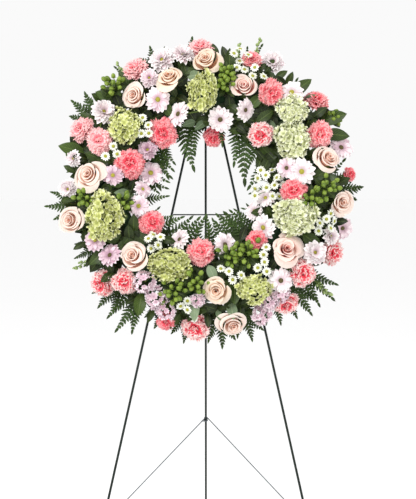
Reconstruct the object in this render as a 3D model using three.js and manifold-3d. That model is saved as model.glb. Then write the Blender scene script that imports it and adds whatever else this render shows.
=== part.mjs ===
// A funeral wreath of fresh flowers on its folding wire easel.
// Millimetres, Z up. The wreath faces -Y and the easel is symmetric about X = 0.
// The two front legs and the ring share one plane that leans back. A place in that plane is given as
// x to the right, t down the plane from the apex, and n out of the plane towards the front.
import * as THREE from 'three';
import { mergeVertices } from 'three/addons/utils/BufferGeometryUtils.js';
import Module from 'manifold-3d';

const wasm = await Module();
wasm.setup();

// ---- driving dimensions ----
const GAP = 0.3;
const APEX_HEIGHT = 1500;
const APEX_Y = -52;
const FRONT_LEAN = THREE.MathUtils.degToRad(12);
const REAR_LEAN = THREE.MathUtils.degToRad(16);
const LEG_RADIUS = 3.175;
const LEG_SPLAY = 0.2162;
const APEX_HALF_WIDTH = 9;
const CROWN_DROP = 12;
const CROWN_GAP = 0.6;
const HINGE_DROP = 30;
const HINGE_BAR_RADIUS = 2.5;
const HINGE_BEHIND = LEG_RADIUS + HINGE_BAR_RADIUS + GAP;
const EYE_CLEARANCE = 0.5;
const CROSSBAR_DROP = 382;
const CROSSBAR_RADIUS = 1.75;

const PRONG_RADIUS = 3;
const PRONG_REACH = 58;
const PRONG_TIP = 24;

const SPREADER_RADIUS = 1.5;
const SPREADER_DROP = 1189;
const SPREADER_BEHIND = 7;
const CROOK_CLEARANCE = 0.8;
const CROOK_SWEEP = THREE.MathUtils.degToRad(130);
const LUG_THICKNESS = 2.5;
const LUG_HEIGHT = 14;
const LUG_HOLE_RADIUS = 2.2;
const RING_TURN = THREE.MathUtils.degToRad(285);
const RING_STUB = 13;

const RING_DROP = 317;
const TRAY_BACK = LEG_RADIUS + 2 * GAP;
const TRAY_INNER = 212;
const TRAY_OUTER = 302;
const TRAY_WALL = 2;
const TRAY_HEIGHT = 12;
const FOAM_TOP = 50;
const FOAM_CHAMFER = 11;
const RING_SEGMENTS = 40;

// The heads stand on a dome that runs round the ring.
const RING_MIDDLE = (TRAY_INNER + TRAY_OUTER) / 2;
const DOME_REACH = 118;
const DOME_FOOT = 62;
const DOME_RISE = 75;
const STEM_END = 28;
const STEM_RADIUS = 2.6;
const BERRY_STALK_RADIUS = 1.4;
const BERRIES_AROUND = 8;
// A berry, the circle of berries and the top one's height, as shares of the cluster's radius.
const BERRY_SIZE = 0.26;
const BERRY_CIRCLE = 0.68;
const BERRY_TOP = 0.4;
const STEM_FAN = 0.3;
const FORK_PLACE = 0.45;
const STEM_FAN_LIMIT = 26;
const SETTLE_PASSES = 80;

// Within the ring's own frame, Z points out to the front.
const OUT_OF_RING = new THREE.Vector3(0, 0, 1);

// ---- the planting plan: clock angle in degrees from the top, distance from the centre, bloom width ----
const ROSES = [
  [321, 290, 72], [341, 290, 72], [0, 312, 70], [22, 270, 66], [273, 300, 84], [254, 352, 80],
  [223, 270, 80], [79, 322, 78], [98, 358, 68], [130, 275, 86], [174, 284, 76], [169, 368, 78],
];
const HYDRANGEAS = [
  [303, 262, 88], [356, 230, 108], [50, 297, 76], [64, 252, 84],
  [251, 284, 104], [203, 234, 108], [113, 250, 100], [156, 305, 84],
];
// Blooms that share one wired pick are written together.
const CARNATION_PICKS = [
  [[358, 374, 62]],
  [[20, 356, 50], [36, 293, 62]],
  [[329, 362, 62]],
  [[294, 358, 60], [293, 291, 62]],
  [[324, 178, 68]],
  [[284, 205, 68]],
  [[226, 374, 62], [219, 333, 56]],
  [[184, 374, 66]],
  [[235, 174, 58]],
  [[184, 183, 64]],
  [[146, 372, 64], [133, 340, 64]],
  [[118, 374, 64]],
  [[67, 324, 62], [52, 374, 62]],
  [[49, 193, 58]],
];
const MUM_SPRAYS = [
  [[341, 352, 58], [350, 350, 52]],
  [[305, 327, 56], [281, 352, 38], [268, 360, 44]],
  [[281, 149, 62], [264, 166, 44], [250, 181, 52]],
  [[128, 192, 60], [117, 148, 46], [105, 160, 46]],
  [[341, 196, 64], [11, 180, 60], [28, 219, 54]],
  [[163, 170, 58], [204, 166, 52]],
];
const BERRIES = [317, 352, 58];

// Greenery branches: the clock angles where the branch starts, is rooted and ends, then each frond's tip
// as [clock angle, distance, width, kind].
const GREENERY = [
  [326, 343, 414, [
    [324, 395, 30, 'fern'], [339, 399, 46, 'fern'], [355, 400, 44, 'fern'], [373, 388, 26, 'fern'],
    [381, 405, 26, 'fern'], [403, 372, 40, 'leaf'], [420, 411, 52, 'leaf'],
  ]],
  [90, 128, 148, [
    [89, 396, 56, 'fern'], [131, 424, 36, 'fern'], [140, 411, 44, 'fern'], [151, 388, 40, 'fern'],
  ]],
  [164, 178, 198, [
    [163, 397, 44, 'fern'], [174, 400, 44, 'fern'], [188, 388, 40, 'fern'], [200, 372, 40, 'fern'],
  ]],
  [213, 236, 301, [
    [212, 420, 40, 'fern'], [222, 400, 44, 'fern'], [242, 372, 30, 'fern'], [264, 405, 40, 'fern'],
    [285, 385, 56, 'leaf'], [304, 412, 50, 'fern'],
  ]],
];

// ---- materials ----
function paint(color, roughness, metalness) {
  return new THREE.MeshStandardMaterial({ color, roughness, metalness });
}

const GREEN_WIRE = paint('#16231d', 0.45, 0.5);
const GALVANISED = paint('#7d8488', 0.4, 0.9);
const TRAY_PLASTIC = paint('#2c4a33', 0.6, 0);
const WET_FOAM = paint('#2f5b3a', 0.95, 0);
const ROSE_PETAL = paint('#f7dfd0', 0.7, 0);
const CARNATION_PETAL = paint('#ee7480', 0.75, 0);
const HYDRANGEA_PETAL = paint('#d3de9c', 0.75, 0);
const MUM_PETAL = paint('#ecdcea', 0.75, 0);
const BERRY_SKIN = paint('#7f9a2c', 0.4, 0);
const LEAF_GREEN = paint('#33502b', 0.6, 0);

// ---- frames ----
const DOWN_PLANE = new THREE.Vector3(0, -Math.sin(FRONT_LEAN), -Math.cos(FRONT_LEAN));
const UP_PLANE = DOWN_PLANE.clone().negate();
const OUT_OF_PLANE = new THREE.Vector3(0, -Math.cos(FRONT_LEAN), Math.sin(FRONT_LEAN));
const DOWN_REAR_LEG = new THREE.Vector3(0, Math.sin(REAR_LEAN), -Math.cos(REAR_LEAN));
const BEHIND_REAR_LEG = new THREE.Vector3(0, Math.cos(REAR_LEAN), Math.sin(REAR_LEAN));
const ACROSS = new THREE.Vector3(1, 0, 0);
const APEX = new THREE.Vector3(0, APEX_Y, APEX_HEIGHT);

const onPlane = (x, t, n) =>
  APEX.clone().addScaledVector(ACROSS, x).addScaledVector(DOWN_PLANE, t).addScaledVector(OUT_OF_PLANE, n);
const halfWidth = (t) => APEX_HALF_WIDTH + LEG_SPLAY * t;

// ---- shared shapes ----

// A wire's centreline that bends only at its points, so a long straight run needs no extra sections.
class BentLine extends THREE.Curve {
  constructor(points) {
    super();
    this.points = points;
  }
  getPoint(u) {
    const place = u * (this.points.length - 1);
    const index = Math.min(Math.floor(place), this.points.length - 2);
    return this.points[index].clone().lerp(this.points[index + 1], place - index);
  }
  getPointAt(u) {
    return this.getPoint(u);
  }
  getTangentAt(u) {
    const index = Math.round(u * (this.points.length - 1));
    const last = this.points.length - 1;
    const heading = (i) => this.points[i + 1].clone().sub(this.points[i]).normalize();
    return heading(Math.max(index - 1, 0)).add(heading(Math.min(index, last - 1))).normalize();
  }
}

function wire(points, radius, sides = 10) {
  const section = new THREE.Shape();
  section.absarc(0, 0, radius, 0, 2 * Math.PI);
  return new THREE.ExtrudeGeometry(section, {
    steps: points.length - 1,
    curveSegments: sides / 2,
    extrudePath: new BentLine(points),
  });
}

function arc(centre, across, up, radius, from, to, steps) {
  const points = [];
  for (let i = 0; i <= steps; i++) {
    const angle = from + ((to - from) * i) / steps;
    points.push(
      centre.clone()
        .addScaledVector(across, radius * Math.cos(angle))
        .addScaledVector(up, radius * Math.sin(angle)),
    );
  }
  return points;
}

// Slides a leg's end section along the leg until it lies flat on the floor.
function cutAtFloor(geometry, direction, nearFloor = 60) {
  const place = geometry.getAttribute('position');
  const point = new THREE.Vector3();
  for (let i = 0; i < place.count; i++) {
    point.fromBufferAttribute(place, i);
    if (point.z < nearFloor) {
      point.addScaledVector(direction, -point.z / direction.z);
      place.setXYZ(i, point.x, point.y, 0);
    }
  }
  return geometry;
}

function toSolid(geometry) {
  const bare = geometry.clone();
  bare.deleteAttribute('normal');
  bare.deleteAttribute('uv');
  const merged = mergeVertices(bare, 1e-3);
  return new wasm.Manifold(new wasm.Mesh({
    numProp: 3,
    vertProperties: new Float32Array(merged.getAttribute('position').array),
    triVerts: new Uint32Array(merged.index.array),
  }));
}

function toGeometry(solid) {
  const mesh = solid.getMesh();
  const geometry = new THREE.BufferGeometry();
  geometry.setAttribute('position', new THREE.BufferAttribute(mesh.vertProperties, 3));
  geometry.setIndex(new THREE.BufferAttribute(mesh.triVerts, 1));
  geometry.computeVertexNormals();
  return geometry;
}

const joined = (geometries) =>
  toGeometry(geometries.map(toSolid).reduce((whole, piece) => whole.add(piece)));

function piece(parent, name, geometry, material) {
  const mesh = new THREE.Mesh(geometry, material);
  mesh.name = name;
  parent.add(mesh);
  return mesh;
}

// ---- the easel ----

function frontLeg(side) {
  const end = APEX_HEIGHT / Math.cos(FRONT_LEAN);
  const top = onPlane(side * halfWidth(CROWN_DROP + CROWN_GAP), CROWN_DROP + CROWN_GAP, 0);
  const foot = onPlane(side * halfWidth(end), end, 0);
  return cutAtFloor(wire([top, foot], LEG_RADIUS, 12), foot.clone().sub(top).normalize());
}

// The bend that joins the two front legs at the top: an arc that both leg lines touch.
function crown() {
  const slope = Math.atan(LEG_SPLAY);
  const radius = halfWidth(CROWN_DROP) / Math.cos(slope);
  const centre = onPlane(0, CROWN_DROP + radius * Math.sin(slope), 0);
  return wire(arc(centre, ACROSS, UP_PLANE, radius, slope, Math.PI - slope, 10), LEG_RADIUS, 12);
}

// The bar that the rear leg turns on, welded across the backs of the front legs.
function hingeBar() {
  const reach = halfWidth(HINGE_DROP) + LEG_RADIUS;
  return wire([onPlane(-reach, HINGE_DROP, -HINGE_BEHIND), onPlane(reach, HINGE_DROP, -HINGE_BEHIND)],
    HINGE_BAR_RADIUS);
}

// A thin bar between the front legs, short of each by the weld gap.
function crossbar() {
  const legHalf = LEG_RADIUS / Math.cos(Math.atan(LEG_SPLAY));
  const reach = halfWidth(CROSSBAR_DROP) - legHalf - CROSSBAR_RADIUS * LEG_SPLAY - GAP;
  return wire([onPlane(-reach, CROSSBAR_DROP, 0), onPlane(reach, CROSSBAR_DROP, 0)], CROSSBAR_RADIUS, 8);
}

// A hook that leaves the front leg under the tray's rim and turns up in front of it.
function prong(side) {
  const [x, drop] = prongPlace();
  const start = LEG_RADIUS + GAP;
  const bend = onPlane(side * x, drop - PRONG_TIP / 2, PRONG_REACH - PRONG_TIP / 2);
  const turn = arc(bend, OUT_OF_PLANE, UP_PLANE, PRONG_TIP / 2, -Math.PI / 2, 0, 5);
  return wire([onPlane(side * x, drop, start), ...turn, onPlane(side * x, drop - PRONG_TIP, PRONG_REACH)],
    PRONG_RADIUS);
}

// Where a front leg passes under the round tray.
function prongPlace() {
  const reach = TRAY_OUTER + PRONG_RADIUS + GAP;
  let drop = RING_DROP + reach;
  for (let pass = 0; pass < 20; pass++) {
    drop = RING_DROP + Math.sqrt(reach ** 2 - halfWidth(drop) ** 2);
  }
  return [halfWidth(drop), drop];
}

// ---- the folding rear leg ----
const HINGE = onPlane(0, HINGE_DROP, -HINGE_BEHIND);
const EYE_RADIUS = HINGE_BAR_RADIUS + EYE_CLEARANCE + LEG_RADIUS;

function rearLeg() {
  const back = new THREE.Vector3(0, 1, 0);
  const up = new THREE.Vector3(0, 0, 1);
  const eye = arc(HINGE, back, up, EYE_RADIUS, REAR_LEAN + THREE.MathUtils.degToRad(240), REAR_LEAN, 12);
  const top = eye[eye.length - 1];
  const foot = top.clone().addScaledVector(DOWN_REAR_LEG, -top.z / DOWN_REAR_LEG.z);
  return cutAtFloor(wire([...eye, foot], LEG_RADIUS, 12), DOWN_REAR_LEG);
}

// ---- the spreader ----
const SPREADER_AXIS = onPlane(0, SPREADER_DROP, -SPREADER_BEHIND);
const REAR_LINE = HINGE.clone().addScaledVector(BEHIND_REAR_LEG, EYE_RADIUS);
const CROOK_DROP = SPREADER_AXIS.clone().sub(REAR_LINE).dot(DOWN_REAR_LEG);
const CROOK = REAR_LINE.clone().addScaledVector(DOWN_REAR_LEG, CROOK_DROP);
const CROOK_RADIUS = LEG_RADIUS + CROOK_CLEARANCE + SPREADER_RADIUS;

// One wire of the V: a pin through the lug, a straight run, and a crook that passes behind the rear leg.
function spreaderWire(side) {
  const backward = CROOK.clone().sub(SPREADER_AXIS).normalize();
  const outward = ACROSS.clone().multiplyScalar(side);
  const lift = DOWN_REAR_LEG.clone().multiplyScalar(-side * (SPREADER_RADIUS + GAP));
  const pinEnd = halfWidth(SPREADER_DROP) + LEG_RADIUS / 2;
  const knee = halfWidth(SPREADER_DROP) - LEG_RADIUS - GAP - 3 * LUG_THICKNESS;
  const lean = Math.atan2(knee - CROOK_RADIUS, SPREADER_AXIS.distanceTo(CROOK));
  const crook = arc(CROOK.clone().add(lift), outward, backward, CROOK_RADIUS, lean, lean + CROOK_SWEEP, 8);
  const pin = SPREADER_AXIS.clone().addScaledVector(outward, pinEnd);
  const bend = SPREADER_AXIS.clone().addScaledVector(outward, knee);
  return wire([pin, bend, ...crook], SPREADER_RADIUS, 8);
}

// The wire end that is wound once round the rear leg, just below where the spreader stops.
function legRing() {
  const radius = LEG_RADIUS + GAP + SPREADER_RADIUS;
  const centre = CROOK.clone().addScaledVector(DOWN_REAR_LEG, 3 * SPREADER_RADIUS + 3 * GAP);
  const front = BEHIND_REAR_LEG.clone().negate();
  const turns = arc(centre, ACROSS, front, radius, Math.PI / 2 - RING_TURN, Math.PI / 2, 16);
  const stub = turns[turns.length - 1].clone().addScaledVector(ACROSS, -RING_STUB);
  return wire([...turns, stub], SPREADER_RADIUS, 8);
}

// A small eye plate on the inside of a front leg, which the spreader's pin turns in.
function lug(side) {
  const plate = new THREE.Shape();
  plate.moveTo(-LUG_HEIGHT / 2, LEG_RADIUS);
  plate.lineTo(-LUG_HEIGHT / 2, -SPREADER_BEHIND);
  plate.absarc(0, -SPREADER_BEHIND, LUG_HEIGHT / 2, Math.PI, 2 * Math.PI);
  plate.lineTo(LUG_HEIGHT / 2, LEG_RADIUS);
  const hole = new THREE.Path();
  hole.absarc(0, -SPREADER_BEHIND, LUG_HOLE_RADIUS, 0, 2 * Math.PI);
  plate.holes.push(hole);
  const geometry = new THREE.ExtrudeGeometry(plate, {
    depth: LUG_THICKNESS,
    bevelEnabled: false,
    curveSegments: 4,
  });
  const inner = halfWidth(SPREADER_DROP - LUG_HEIGHT / 2) - 1.05 * LEG_RADIUS - GAP;
  const start = side > 0 ? inner - LUG_THICKNESS : -inner;
  const place = new THREE.Matrix4().makeBasis(UP_PLANE, OUT_OF_PLANE, ACROSS);
  place.setPosition(onPlane(start, SPREADER_DROP, 0));
  return geometry.applyMatrix4(place);
}

// ---- the ring that holds the flowers ----

function turnedRing(profile) {
  const points = profile.map(([radius, height]) => new THREE.Vector2(radius, height));
  points.push(points[0].clone());
  return new THREE.LatheGeometry(points, RING_SEGMENTS).rotateX(Math.PI / 2);
}

function foamTray() {
  const floor = TRAY_BACK + TRAY_WALL;
  return turnedRing([
    [TRAY_INNER, TRAY_BACK],
    [TRAY_OUTER, TRAY_BACK],
    [TRAY_OUTER, TRAY_BACK + TRAY_HEIGHT],
    [TRAY_OUTER - TRAY_WALL, TRAY_BACK + TRAY_HEIGHT],
    [TRAY_OUTER - TRAY_WALL, floor],
    [TRAY_INNER + TRAY_WALL, floor],
    [TRAY_INNER + TRAY_WALL, TRAY_BACK + TRAY_HEIGHT],
    [TRAY_INNER, TRAY_BACK + TRAY_HEIGHT],
  ]);
}

function foamBlank() {
  const inner = TRAY_INNER + TRAY_WALL + GAP;
  const outer = TRAY_OUTER - TRAY_WALL - GAP;
  const base = TRAY_BACK + TRAY_WALL + GAP;
  return turnedRing([
    [inner, base],
    [outer, base],
    [outer, FOAM_TOP - FOAM_CHAMFER],
    [outer - FOAM_CHAMFER, FOAM_TOP],
    [inner + FOAM_CHAMFER, FOAM_TOP],
    [inner, FOAM_TOP - FOAM_CHAMFER],
  ]);
}

// ---- places on the wreath ----

function onRing(clock, distance, height) {
  const angle = THREE.MathUtils.degToRad(clock);
  return new THREE.Vector3(distance * Math.sin(angle), distance * Math.cos(angle), height);
}

function domeHeight(distance) {
  const side = THREE.MathUtils.clamp((distance - RING_MIDDLE) / DOME_REACH, -1, 1);
  return DOME_FOOT + DOME_RISE * Math.sqrt(1 - side ** 2);
}

function planHead([clock, distance, width]) {
  return { centre: onRing(clock, distance, domeHeight(distance)), radius: width / 2 };
}

// Crowded heads push each other apart until their petals only touch.
function settle(heads) {
  for (let pass = 0; pass < SETTLE_PASSES; pass++) {
    for (let i = 0; i < heads.length; i++) {
      for (let j = i + 1; j < heads.length; j++) {
        const between = heads[j].centre.clone().sub(heads[i].centre);
        const crowding = heads[i].radius + heads[j].radius + GAP - between.length();
        if (crowding > 0) {
          between.setLength(crowding / 2);
          heads[i].centre.sub(between);
          heads[j].centre.add(between);
        }
      }
    }
    heads.forEach((head) => (head.centre.z = Math.max(head.centre.z, DOME_FOOT)));
  }
}

// Where a stem ends inside the foam, straight behind its head but kept within the ring.
function stemEnd(centre) {
  const distance = Math.hypot(centre.x, centre.y);
  const fan = THREE.MathUtils.clamp(STEM_FAN * (distance - RING_MIDDLE), -STEM_FAN_LIMIT, STEM_FAN_LIMIT);
  const inPlane = (RING_MIDDLE + fan) / distance;
  return new THREE.Vector3(centre.x * inPlane, centre.y * inPlane, STEM_END);
}

// ---- flower heads: the bloom faces +Z, its widest ring is near the origin, the stem runs down -Z ----

// Turns a profile of [radius, height] pairs, and waves every ring wider than the stem.
function turned(profile, segments, lobes, wave) {
  const points = profile.map(([radius, height]) => new THREE.Vector2(radius, height));
  const geometry = new THREE.LatheGeometry(points, segments).rotateX(Math.PI / 2);
  const place = geometry.getAttribute('position');
  for (let i = 0; i < place.count; i++) {
    const x = place.getX(i);
    const y = place.getY(i);
    const ripple = 1 - (wave / 2) * (1 - Math.cos(lobes * Math.atan2(y, x)));
    const swell = Math.hypot(x, y) > 2 * STEM_RADIUS ? ripple : 1;
    place.setXYZ(i, x * swell, y * swell, place.getZ(i));
  }
  return geometry;
}

const scaled = (profile, size) => profile.map(([radius, height]) => [radius * size, height * size]);

function withStem(profile, size, length) {
  const bloom = scaled(profile, size);
  const neck = bloom[0][1] - 0.1 * size;
  return [[0, -length], [STEM_RADIUS, -length], [STEM_RADIUS, neck], ...bloom];
}

const ROSE_PROFILE = [
  [0.42, -0.6], [0.8, -0.3], [0.96, 0.02], [0.9, 0.2], [0.74, 0.22],
  [0.66, 0.1], [0.5, 0.42], [0.22, 0.5], [0, 0.44],
];
const CARNATION_PROFILE = [
  [0.24, -0.7], [0.3, -0.34], [0.98, -0.12], [0.92, 0.16], [0.62, 0.46], [0, 0.56],
];
const HYDRANGEA_PROFILE = [[0.6, -0.48], [0.96, -0.12], [0.9, 0.3], [0.56, 0.6], [0, 0.74]];
const MUM_PROFILE = [[0.26, -0.22], [0.97, 0.02], [0.32, 0.12], [0, 0.16]];

const rose = (size, length) => turned(withStem(ROSE_PROFILE, size, length), 10, 5, 0.06);
const carnation = (size, length) => turned(withStem(CARNATION_PROFILE, size, length), 14, 7, 0.1);
const hydrangea = (size, length) => turned(withStem(HYDRANGEA_PROFILE, size, length), 14, 7, 0.14);
const mum = (size, length) => turned(withStem(MUM_PROFILE, size, length), 16, 8, 0.24);

// ---- sprays: one head, or several on a branching stem ----

// Where a spray's stem ends in the foam and where it forks.
function sprayFork(heads) {
  const middle = new THREE.Vector3();
  heads.forEach((head) => middle.addScaledVector(head.centre, 1 / heads.length));
  const end = stemEnd(middle);
  return [end, end.clone().lerp(middle, heads.length > 1 ? FORK_PLACE : 0)];
}

// The straight stretches of stem that may pass through the foam.
function sprayStems(heads) {
  const [end, fork] = sprayFork(heads);
  const arms = heads.map((head) => [fork, head.centre]);
  return heads.length > 1 ? [[end, fork], ...arms] : arms;
}

function faced(geometry, place, direction) {
  const facing = direction.clone().normalize();
  const turn = new THREE.Quaternion().setFromUnitVectors(OUT_OF_RING, facing);
  return geometry.applyQuaternion(turn).translate(place.x, place.y, place.z);
}

function spray(heads, bloom) {
  const [end, fork] = sprayFork(heads);
  const parts = heads.length > 1 ? [wire([end, fork], STEM_RADIUS, 8)] : [];
  heads.forEach((head) => {
    const arm = head.centre.clone().sub(fork);
    parts.push(faced(bloom(head.radius, arm.length()), head.centre, arm));
  });
  return joined(parts);
}

// Berries in a circle and one on top, on a branching stem.
function berrySpray(head) {
  const end = stemEnd(head.centre);
  const out = head.centre.clone().sub(end).normalize();
  const side = new THREE.Vector3().crossVectors(out, OUT_OF_RING).normalize();
  const up = new THREE.Vector3().crossVectors(side, out);
  const berryRadius = BERRY_SIZE * head.radius;
  const fork = head.centre.clone().addScaledVector(out, -head.radius);
  const lastAngle = 2 * Math.PI * (1 - 1 / BERRIES_AROUND);
  const circle = BERRY_CIRCLE * head.radius;
  const tips = arc(head.centre, side, up, circle, 0, lastAngle, BERRIES_AROUND - 1);
  tips.push(head.centre.clone().addScaledVector(out, BERRY_TOP * head.radius));
  const parts = [wire([end, fork], STEM_RADIUS, 8)];
  tips.forEach((tip) => {
    parts.push(wire([fork.clone().lerp(end, 0.02), tip], BERRY_STALK_RADIUS, 4));
    parts.push(new THREE.IcosahedronGeometry(berryRadius, 0).translate(tip.x, tip.y, tip.z));
  });
  return joined(parts);
}

// ---- greenery ----
const FROND_THICKNESS = 1.6;
const GREENERY_ROOT = 19;
const GREENERY_TIP = 9;
const GREENERY_SHOULDER = TRAY_OUTER + 12;
const ROOT_DEPTH = 16;
const BRANCH_BEND_DEGREES = 8;
const FERN_LOBES = 5;
const STALK_HALF_WIDTH = 2;
const RIB_HALF_WIDTH = 3;
// The lobes start and end at these shares of a frond's length.
const LOBES_FROM = 0.12;
const LOBES_TO = 0.92;

// A frond lies in XY with its stalk at the origin and its tip on +Y. A leaf is a frond with one broad lobe.
function frondOutline(length, width, kind) {
  const outline = new THREE.Shape();
  const lobes = kind === 'fern' ? FERN_LOBES : 1;
  const lobeLength = (LOBES_TO - LOBES_FROM) / lobes;
  const edge = [];
  for (let i = 0; i < lobes; i++) {
    const from = LOBES_FROM + i * lobeLength;
    const reach = (width / 2) * Math.sin(Math.PI * (0.35 + 0.6 * from));
    edge.push([RIB_HALF_WIDTH, length * from]);
    edge.push([reach, length * (from + 0.56 * lobeLength)]);
    if (kind === 'leaf') edge.push([0.8 * reach, length * (from + 0.79 * lobeLength)]);
  }
  outline.moveTo(-STALK_HALF_WIDTH, 0);
  outline.lineTo(STALK_HALF_WIDTH, 0);
  edge.forEach(([x, y]) => outline.lineTo(x, y));
  outline.lineTo(0, length);
  edge.reverse().forEach(([x, y]) => outline.lineTo(-x, y));
  return outline;
}

function frond(from, to, width, kind) {
  const along = to.clone().sub(from);
  const length = along.length();
  const plate = new THREE.ExtrudeGeometry(frondOutline(length, width, kind), {
    depth: FROND_THICKNESS,
    bevelEnabled: false,
  }).translate(0, 0, -FROND_THICKNESS / 2);
  const side = new THREE.Vector3().crossVectors(along, OUT_OF_RING).normalize();
  const face = new THREE.Vector3().crossVectors(side, along).normalize();
  const place = new THREE.Matrix4().makeBasis(side, along.normalize(), face);
  return plate.applyMatrix4(place.setPosition(from));
}

// A branch bent along the outside of the tray, with a root into the foam and fronds along it.
function greeneryBranch([from, rooted, to, fronds]) {
  const steps = Math.ceil((to - from) / BRANCH_BEND_DEGREES);
  const line = [];
  for (let i = 0; i <= steps; i++) {
    line.push(onRing(from + ((to - from) * i) / steps, GREENERY_SHOULDER, GREENERY_ROOT));
  }
  const parts = [wire(line, 0.8 * STEM_RADIUS, 6), wire(greeneryRoot(rooted), STEM_RADIUS, 8)];
  fronds.forEach(([tipClock, distance, width, kind]) => {
    const start = onRing(THREE.MathUtils.clamp(tipClock, from, to), GREENERY_SHOULDER, GREENERY_ROOT);
    parts.push(frond(start, onRing(tipClock, distance, GREENERY_TIP), width, kind));
  });
  return joined(parts);
}

function greeneryRoot(clock) {
  const inFoam = onRing(clock, TRAY_OUTER - ROOT_DEPTH, GREENERY_ROOT);
  return [inFoam, onRing(clock, GREENERY_SHOULDER, GREENERY_ROOT)];
}

// ---- assembly ----
const wreathOnEasel = new THREE.Group();

function addEasel(parent) {
  piece(parent, 'left_front_leg', frontLeg(-1), GREEN_WIRE);
  piece(parent, 'right_front_leg', frontLeg(1), GREEN_WIRE);
  piece(parent, 'crown_bend', crown(), GREEN_WIRE);
  piece(parent, 'hinge_bar', hingeBar(), GREEN_WIRE);
  piece(parent, 'crossbar', crossbar(), GREEN_WIRE);
  piece(parent, 'left_prong', prong(-1), GREEN_WIRE);
  piece(parent, 'right_prong', prong(1), GREEN_WIRE);
  piece(parent, 'left_lug', lug(-1), GREEN_WIRE);
  piece(parent, 'right_lug', lug(1), GREEN_WIRE);
  piece(parent, 'rear_leg', rearLeg(), GREEN_WIRE);
  piece(parent, 'leg_ring', legRing(), GALVANISED);
  piece(parent, 'left_spreader', spreaderWire(-1), GALVANISED);
  piece(parent, 'right_spreader', spreaderWire(1), GALVANISED);
}

function addWreath(parent) {
  const wreath = new THREE.Group();
  wreath.position.copy(onPlane(0, RING_DROP, 0));
  wreath.rotation.x = Math.PI / 2 - FRONT_LEAN;
  parent.add(wreath);

  const roses = ROSES.map(planHead);
  const hydrangeas = HYDRANGEAS.map(planHead);
  const carnations = CARNATION_PICKS.map((rows) => rows.map(planHead));
  const mums = MUM_SPRAYS.map((rows) => rows.map(planHead));
  const berries = planHead(BERRIES);
  settle([...roses, ...hydrangeas, ...carnations.flat(), ...mums.flat(), berries]);

  const stems = [];
  const plant = (label, material, picks, bloom) =>
    picks.forEach((heads, i) => {
      piece(wreath, `${label}_${i + 1}`, spray(heads, bloom), material);
      stems.push(...sprayStems(heads));
    });
  plant('rose', ROSE_PETAL, roses.map((head) => [head]), rose);
  plant('hydrangea', HYDRANGEA_PETAL, hydrangeas.map((head) => [head]), hydrangea);
  plant('carnation', CARNATION_PETAL, carnations, carnation);
  plant('mum_spray', MUM_PETAL, mums, mum);
  piece(wreath, 'hypericum', berrySpray(berries), BERRY_SKIN);
  stems.push([stemEnd(berries.centre), berries.centre]);
  GREENERY.forEach((row, i) => {
    piece(wreath, `greenery_${i + 1}`, greeneryBranch(row), LEAF_GREEN);
    stems.push(greeneryRoot(row[1]));
  });

  piece(wreath, 'foam_tray', foamTray(), TRAY_PLASTIC);
  piece(wreath, 'foam_ring', drilledFoam(stems), WET_FOAM);
}

// Each stem has its own hole in the foam.
function drilledFoam(stems) {
  let foam = toSolid(foamBlank());
  stems.forEach(([end, far]) => {
    const direction = far.clone().sub(end).normalize();
    const from = end.clone().addScaledVector(direction, -2 * GAP);
    foam = foam.subtract(toSolid(wire([from, far], STEM_RADIUS + 1.5 * GAP, 8)));
  });
  return toGeometry(foam);
}

addEasel(wreathOnEasel);
addWreath(wreathOnEasel);

export default wreathOnEasel;
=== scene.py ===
# %% [markdown]
# # A funeral wreath on its wire easel
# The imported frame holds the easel, the foam ring and one plain solid for each bloom or branch. This lesson
# gives the wires their enamel and zinc, and grows petals, leaves, ferns and berries where the plain solids
# stand.

# %% Load the frame
import bpy
import bmesh
import random
from math import radians, pi, sin, cos, sqrt
from mathutils import Matrix, Vector, noise


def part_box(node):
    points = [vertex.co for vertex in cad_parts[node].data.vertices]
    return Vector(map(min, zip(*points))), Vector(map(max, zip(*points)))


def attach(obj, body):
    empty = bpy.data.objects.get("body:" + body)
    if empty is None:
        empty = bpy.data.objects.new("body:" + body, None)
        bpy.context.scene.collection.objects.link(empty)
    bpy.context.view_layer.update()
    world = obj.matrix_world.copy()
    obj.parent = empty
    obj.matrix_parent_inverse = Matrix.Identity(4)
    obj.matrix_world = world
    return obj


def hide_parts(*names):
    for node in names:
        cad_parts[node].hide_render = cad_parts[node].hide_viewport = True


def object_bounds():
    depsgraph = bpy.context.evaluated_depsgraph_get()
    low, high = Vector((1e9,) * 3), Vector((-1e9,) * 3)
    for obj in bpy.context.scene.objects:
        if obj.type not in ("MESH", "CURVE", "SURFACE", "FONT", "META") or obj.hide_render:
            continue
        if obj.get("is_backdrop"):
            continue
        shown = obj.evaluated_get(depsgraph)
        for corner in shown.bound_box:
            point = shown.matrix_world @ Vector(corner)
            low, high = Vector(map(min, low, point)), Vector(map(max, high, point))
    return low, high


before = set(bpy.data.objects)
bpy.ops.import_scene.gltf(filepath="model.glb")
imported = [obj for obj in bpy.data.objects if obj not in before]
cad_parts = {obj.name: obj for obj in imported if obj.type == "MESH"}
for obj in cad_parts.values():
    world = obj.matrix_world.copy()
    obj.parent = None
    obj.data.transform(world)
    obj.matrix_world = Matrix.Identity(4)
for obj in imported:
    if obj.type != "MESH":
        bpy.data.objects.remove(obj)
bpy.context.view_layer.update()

# %% [markdown]
# The ring leans back with the easel's front legs, so every flower is easiest to make in the ring's own flat
# frame: X to the right, Y up the ring and Z out towards the mourner, in millimetres. One matrix then
# carries a finished mesh to the world. The other way, a parent empty with a rotation, would leave objects
# turned, and each finished piece has to sit at the origin unturned.

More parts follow.
